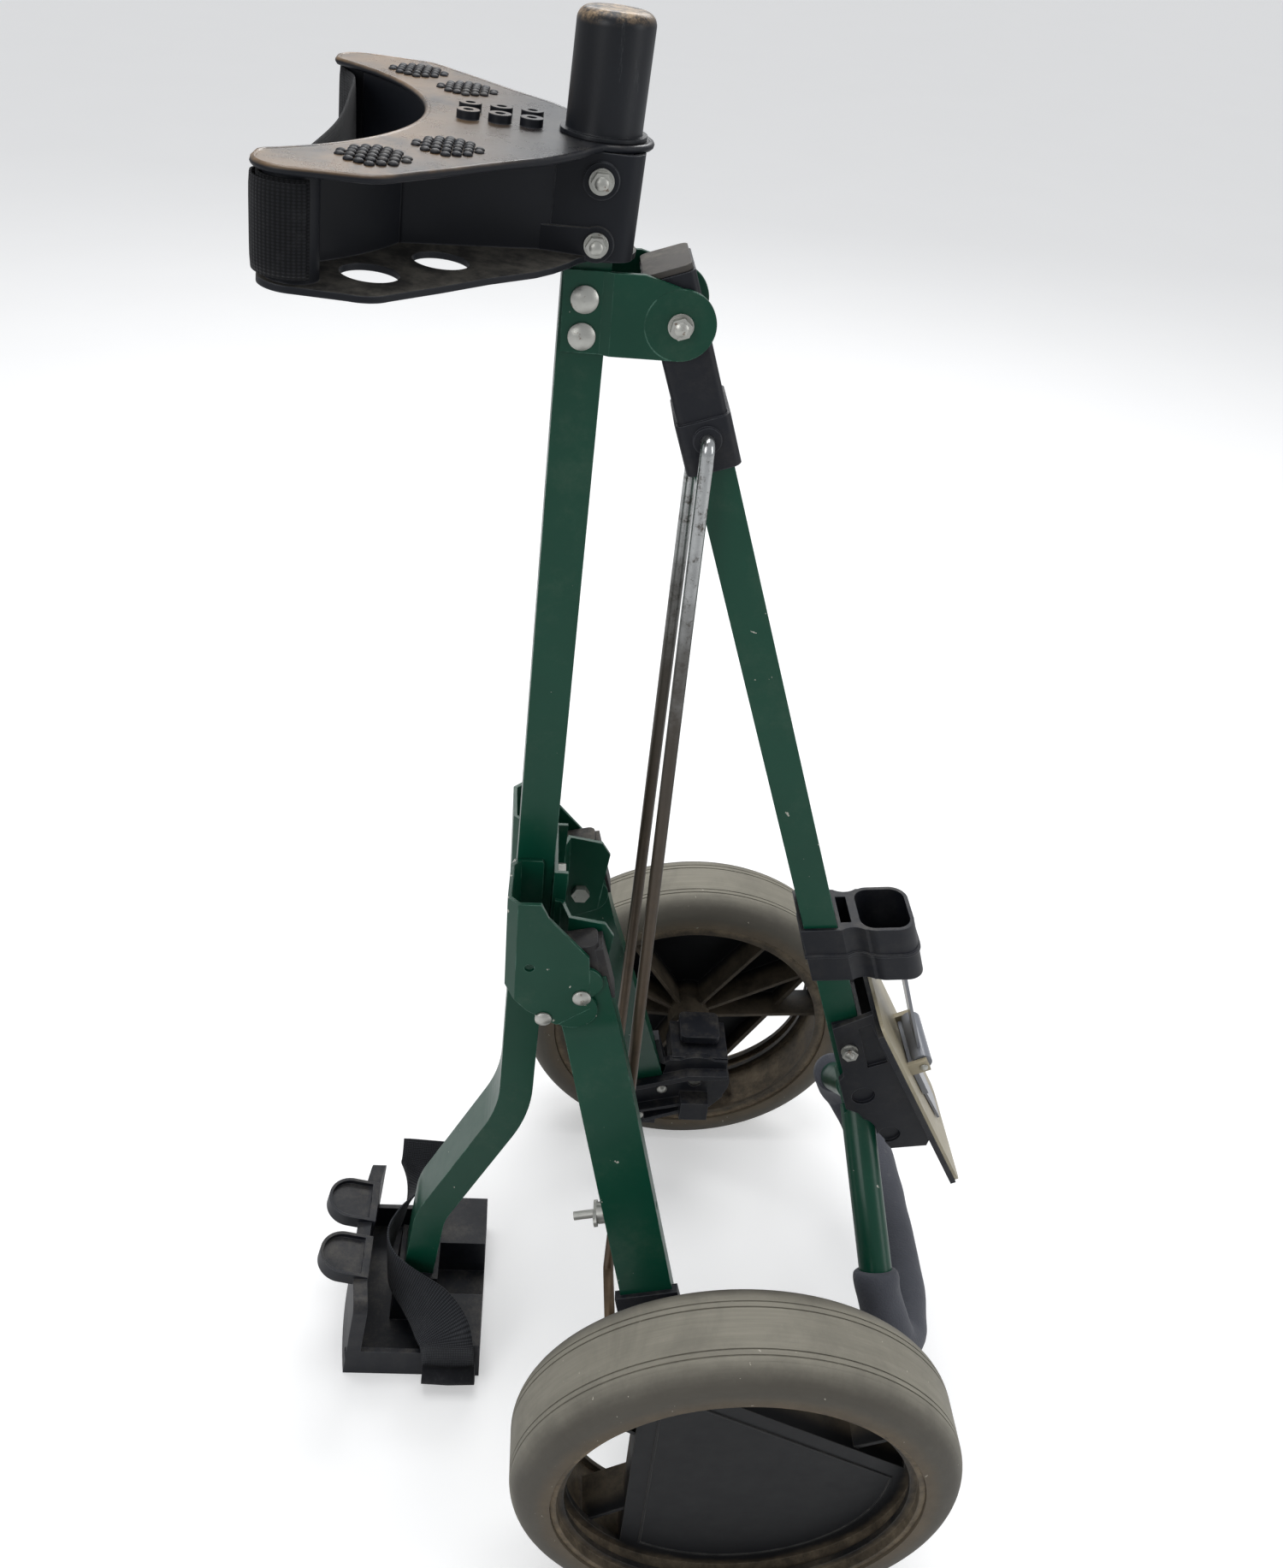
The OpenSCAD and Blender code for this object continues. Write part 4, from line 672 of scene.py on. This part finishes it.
def lower_strap(material):
    """Flat webbing round the front of the foot, hanging to the floor at one side and loose at the other."""
    low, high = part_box("lower_strap")
    reach = high.y - 1.5 * MM
    front = low.x + 2 * MM

    def at(x, y, z):
        return Vector((front + x * MM, y * MM if abs(y) < 70 else math.copysign(reach, y), z * MM))

    near = [
        (at(55, -74, 12), (1, 0, 0)), (at(54, -74, 34), (1, 0, 0)), (at(53, -74, 50), (1, 0, 0)),
        (at(50, -68, 57), (1, 0, 0.1)), (at(40, -54, 60), (0.9, 0, 0.45)), (at(24, -38, 62), (0.55, 0, 0.85)),
    ]
    middle = [(at(6, -20, 66), (0.15, 0, 1)), (at(0, 0, 68), (0, 0, 1)), (at(4, 20, 70), (0.1, 0, 1))]
    far = [
        (at(13, 38, 76), (0.35, 0, 1)), (at(21, 53, 84), (0.7, 0, 0.7)),
        (at(26, 62, 98), (1, 0, 0.1)), (at(28, 66, 122), (1, 0, 0)),
    ]
    bm = bmesh.new()
    ribbon(bm, [(p, Vector(d)) for p, d in near + middle + far], 42 * MM, 2.2 * MM)
    out = Vector((0, -6 * MM, 0))
    hem = [at(34, -74, 17) + out, at(55, -74, 15.5) + out, at(76, -74, 17) + out]
    sweep(bm, hem, 7 * MM, 18)
    made = mesh_piece("foot_webbing", bm, material, "frame")
    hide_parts("lower_strap")


# ---- Foam grip ------------------------------------------------------------------------


def foam_grip(material):
    """One soft foam sleeve round the outer bow of the grip loop, slightly dented, with puckered ends."""
    pivot = Vector(joints["handle_fold"]["pos_m"])
    lean = math.radians(18.6)
    down = Vector((math.sin(lean), 0, -math.cos(lean)))
    towards = Vector((-math.cos(lean), 0, -math.sin(lean)))
    def at(n, y, s):
        return pivot + down * s * MM + towards * n * MM + Vector((0, y * MM, 0))
    half = [(16.9, -94, 694), (18.6, -103, 705), (17, -118, 737), (11, -113, 754),
            (5, -93, 764), (1, -62, 769), (0, -31, 771)]
    path = [at(*p) for p in half] + [at(0, 0, 771.5)]
    path += [at(n, -y, s) for n, y, s in reversed(half)]
    points = smooth_path(path, 10)
    rng = random.Random(5)
    waves = [(rng.uniform(3, 14), rng.uniform(0, 6.28), rng.uniform(0.1, 0.35)) for _ in range(6)]
    def radius(t):
        dents = sum(a * math.sin(f * t * 6.28 + p) for f, p, a in waves)
        ends = min(t, 1 - t)
        pucker = 1.8 * math.exp(-ends * 90)
        return (16.6 + dents * 0.5 - pucker) * MM
    bm = bmesh.new()
    sweep(bm, points, radius, 32)
    made = mesh_piece("foam_sleeve", bm, material, "handle")
    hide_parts("foam_grip")


# ---- Rods -----------------------------------------------------------------------------


def rod_wire(side, material):
    """One bent rod: a short stub in the sleeve, a round bend, the long straight and the stub at the hub."""
    s = SIDE_SIGN[side]
    low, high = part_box("rod_" + side)
    r = 4 * MM
    top = Vector(joints["rod_swing_" + side]["pos_m"])
    inner = 16 * MM
    outer_top = 28.8 * MM
    end_y = max(abs(low.y), abs(high.y))
    foot_y = 56 * MM
    foot = Vector((low.x + r, 0, low.z + r))
    if abs(foot.x - top.x) < r:
        foot = Vector((high.x - r, 0, low.z + r))
    bend = 5.5 * MM
    a = Vector((top.x, s * inner, top.z))
    corner_top = Vector((top.x, s * outer_top, top.z))
    corner_low = Vector((foot.x, s * foot_y, foot.z))
    b = Vector((foot.x, s * end_y, foot.z))
    points = round_corners([a, corner_top, corner_low, b], bend)
    bm = bmesh.new()
    sweep(bm, points, r, 20)
    made = mesh_piece("rod_wire_" + side, bm, material, "rod_" + side)
    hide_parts("rod_" + side)


def round_corners(points, radius, steps=10):
    """A polyline with each inner corner replaced by a smooth bend."""
    made = [points[0]]
    for before, corner, after in zip(points, points[1:], points[2:]):
        p = corner + (before - corner).normalized() * radius
        q = corner + (after - corner).normalized() * radius
        for k in range(steps + 1):
            t = k / steps
            made.append((1 - t) ** 2 * p + 2 * t * (1 - t) * corner + t * t * q)
    made.append(points[-1])
    return made


# ---- Fork bracket details ---------------------------------------------------------------


def fork_details(material, patch_material):
    """Rolled lips round both shelves and four dimpled ball patches on the top one."""
    centre, along, up = bracket_axes()
    shelf_up = Matrix.Rotation(math.radians(1.8), 3, "Y") @ up
    for name, normal in (("fork_lip_top", up), ("fork_lip_bottom", shelf_up)):
        outline = even_steps(outer_loop("upper_bracket", normal), 4 * MM)
        bm = bmesh.new()
        sweep(bm, [p - normal * 1.5 * MM for p in outline], 1.9 * MM, 10, closed=True)
        mesh_piece(name, bm, material, "frame")
    bm = bmesh.new()
    for n, y in ((-96, -104), (-68, -70), (-68, 70), (-96, 104)):
        base = centre + along * (n + 224.5) * MM + up * 27.5 * MM + Vector((0, y * MM, 0))
        ball_patch(bm, base, along, up)
    mesh_piece("ball_patches", bm, patch_material, "frame")


def ball_patch(bm, base, along, up):
    """A low oval dome of round pips, moulded to look like part of a golf ball."""
    across = Vector((0, 1, 0))
    pitch = 5.2
    for row in range(-3, 4):
        for column in range(-4, 4):
            u = (column + (row % 2) / 2) * pitch
            v = row * pitch * 0.87
            share = (u / 18) ** 2 + (v / 14) ** 2
            if share > 1:
                continue
            lift = 1.2 * (1 - share)
            place = base + (across * u + along * v + up * lift) * MM
            turn = Matrix((across, along, up)).transposed().to_4x4()
            size = Matrix.Diagonal((2.3 * MM, 2.3 * MM, 1.3 * MM, 1))
            bmesh.ops.create_uvsphere(bm, u_segments=12, v_segments=8, radius=1,
                                      matrix=Matrix.Translation(place) @ turn @ size)


# ---- Floor, light and camera ------------------------------------------------------------


def pale_floor():
    bm = bmesh.new()
    bmesh.ops.create_grid(bm, x_segments=1, y_segments=1, size=40)
    mesh = bpy.data.meshes.new("floor")
    bm.to_mesh(mesh)
    bm.free()
    floor = bpy.data.objects.new("floor", mesh)
    bpy.context.scene.collection.objects.link(floor)
    floor.location.z = -0.3 * MM
    g = Graph("floor_paint", 0.0)
    g.set("Base Color", g.mix(g.noise(3, 4), (0.80, 0.80, 0.80, 1), (0.84, 0.84, 0.84, 1)))
    g.set("Roughness", 0.75)
    rays = g.node("ShaderNodeLightPath")
    g.set("Emission Color", (1, 1, 1, 1))
    g.set("Emission Strength", g.math("MULTIPLY", rays.outputs["Is Camera Ray"], 0.3))
    mesh.materials.append(g.material)


def softbox(name, place, target, size, power, tint=(1, 1, 1)):
    light = bpy.data.lights.new(name, "AREA")
    light.shape = "RECTANGLE"
    light.size, light.size_y = size
    light.energy = power
    light.color = tint
    lamp = bpy.data.objects.new(name, light)
    lamp.location = place
    lamp.rotation_mode = "QUATERNION"
    lamp.rotation_quaternion = (Vector(target) - Vector(place)).to_track_quat("-Z", "Y")
    bpy.context.scene.collection.objects.link(lamp)


def studio():
    world = bpy.data.worlds.new("studio")
    world.use_nodes = True
    background = world.node_tree.nodes["Background"]
    background.inputs["Color"].default_value = (0.95, 0.97, 1.0, 1)
    background.inputs["Strength"].default_value = 0.5
    bpy.context.scene.world = world
    bpy.context.scene.view_settings.view_transform = "Standard"
    axle = Vector((WHEEL_CENTRE["left"].x, 0, 0))
    middle = axle + Vector((-0.05, 0, 0.5))
    softbox("ceiling_light", axle + Vector((-0.2, 0.3, 2.7)), middle, (1.4, 1.4), 26)
    softbox("back_light", axle + Vector((0.3, 2.3, 2.3)), axle + Vector((-0.1, 0, 0.8)), (2.2, 0.7), 30)
    softbox("front_light", axle + Vector((-1.9, -2.2, 1.9)), middle, (1.2, 1.6), 22)
    softbox("side_light", axle + Vector((2.4, -0.9, 1.3)), middle, (0.8, 1.6), 12)


def camera():
    """The viewpoint: above the near wheel, looking down over the trolley, rolled a little."""
    place = Vector((WHEEL_CENTRE["left"].x - 0.1607, -0.7027, 1.0689))
    yaw, pitch, roll = math.radians(2.99), math.radians(34.32), math.radians(4.2)
    ahead = Vector((math.sin(yaw) * math.cos(pitch), math.cos(yaw) * math.cos(pitch), -math.sin(pitch)))
    level = Vector((math.cos(yaw), -math.sin(yaw), 0))
    upright = level.cross(ahead)
    right = math.cos(roll) * level + math.sin(roll) * upright
    up = math.cos(roll) * upright - math.sin(roll) * level
    data = bpy.data.cameras.new("camera")
    data.lens = 31.6
    data.shift_x, data.shift_y = 0.0362, -0.0304
    data.clip_start, data.clip_end = 0.01, 100
    made = bpy.data.objects.new("camera", data)
    made.matrix_world = Matrix((
        (right.x, up.x, -ahead.x, place.x),
        (right.y, up.y, -ahead.y, place.y),
        (right.z, up.z, -ahead.z, place.z),
        (0, 0, 0, 1),
    ))
    bpy.context.scene.collection.objects.link(made)
    bpy.context.scene.camera = made


finishes, special = finish_cad_nodes()
upper_strap(webbing("fork_webbing", srgb(5, 6, 8), srgb(24, 25, 29)))
lower_strap(webbing("foot_webbing", srgb(20, 21, 25), srgb(58, 60, 64)))
foam_grip(closed_foam())
rod_finish = finishes["rusty_rod"]
for rod_side in ("left", "right"):
    rod_wire(rod_side, rod_finish)
fork_details(special["upper_bracket"], finishes["black_plastic"])
pale_floor()
studio()
camera()
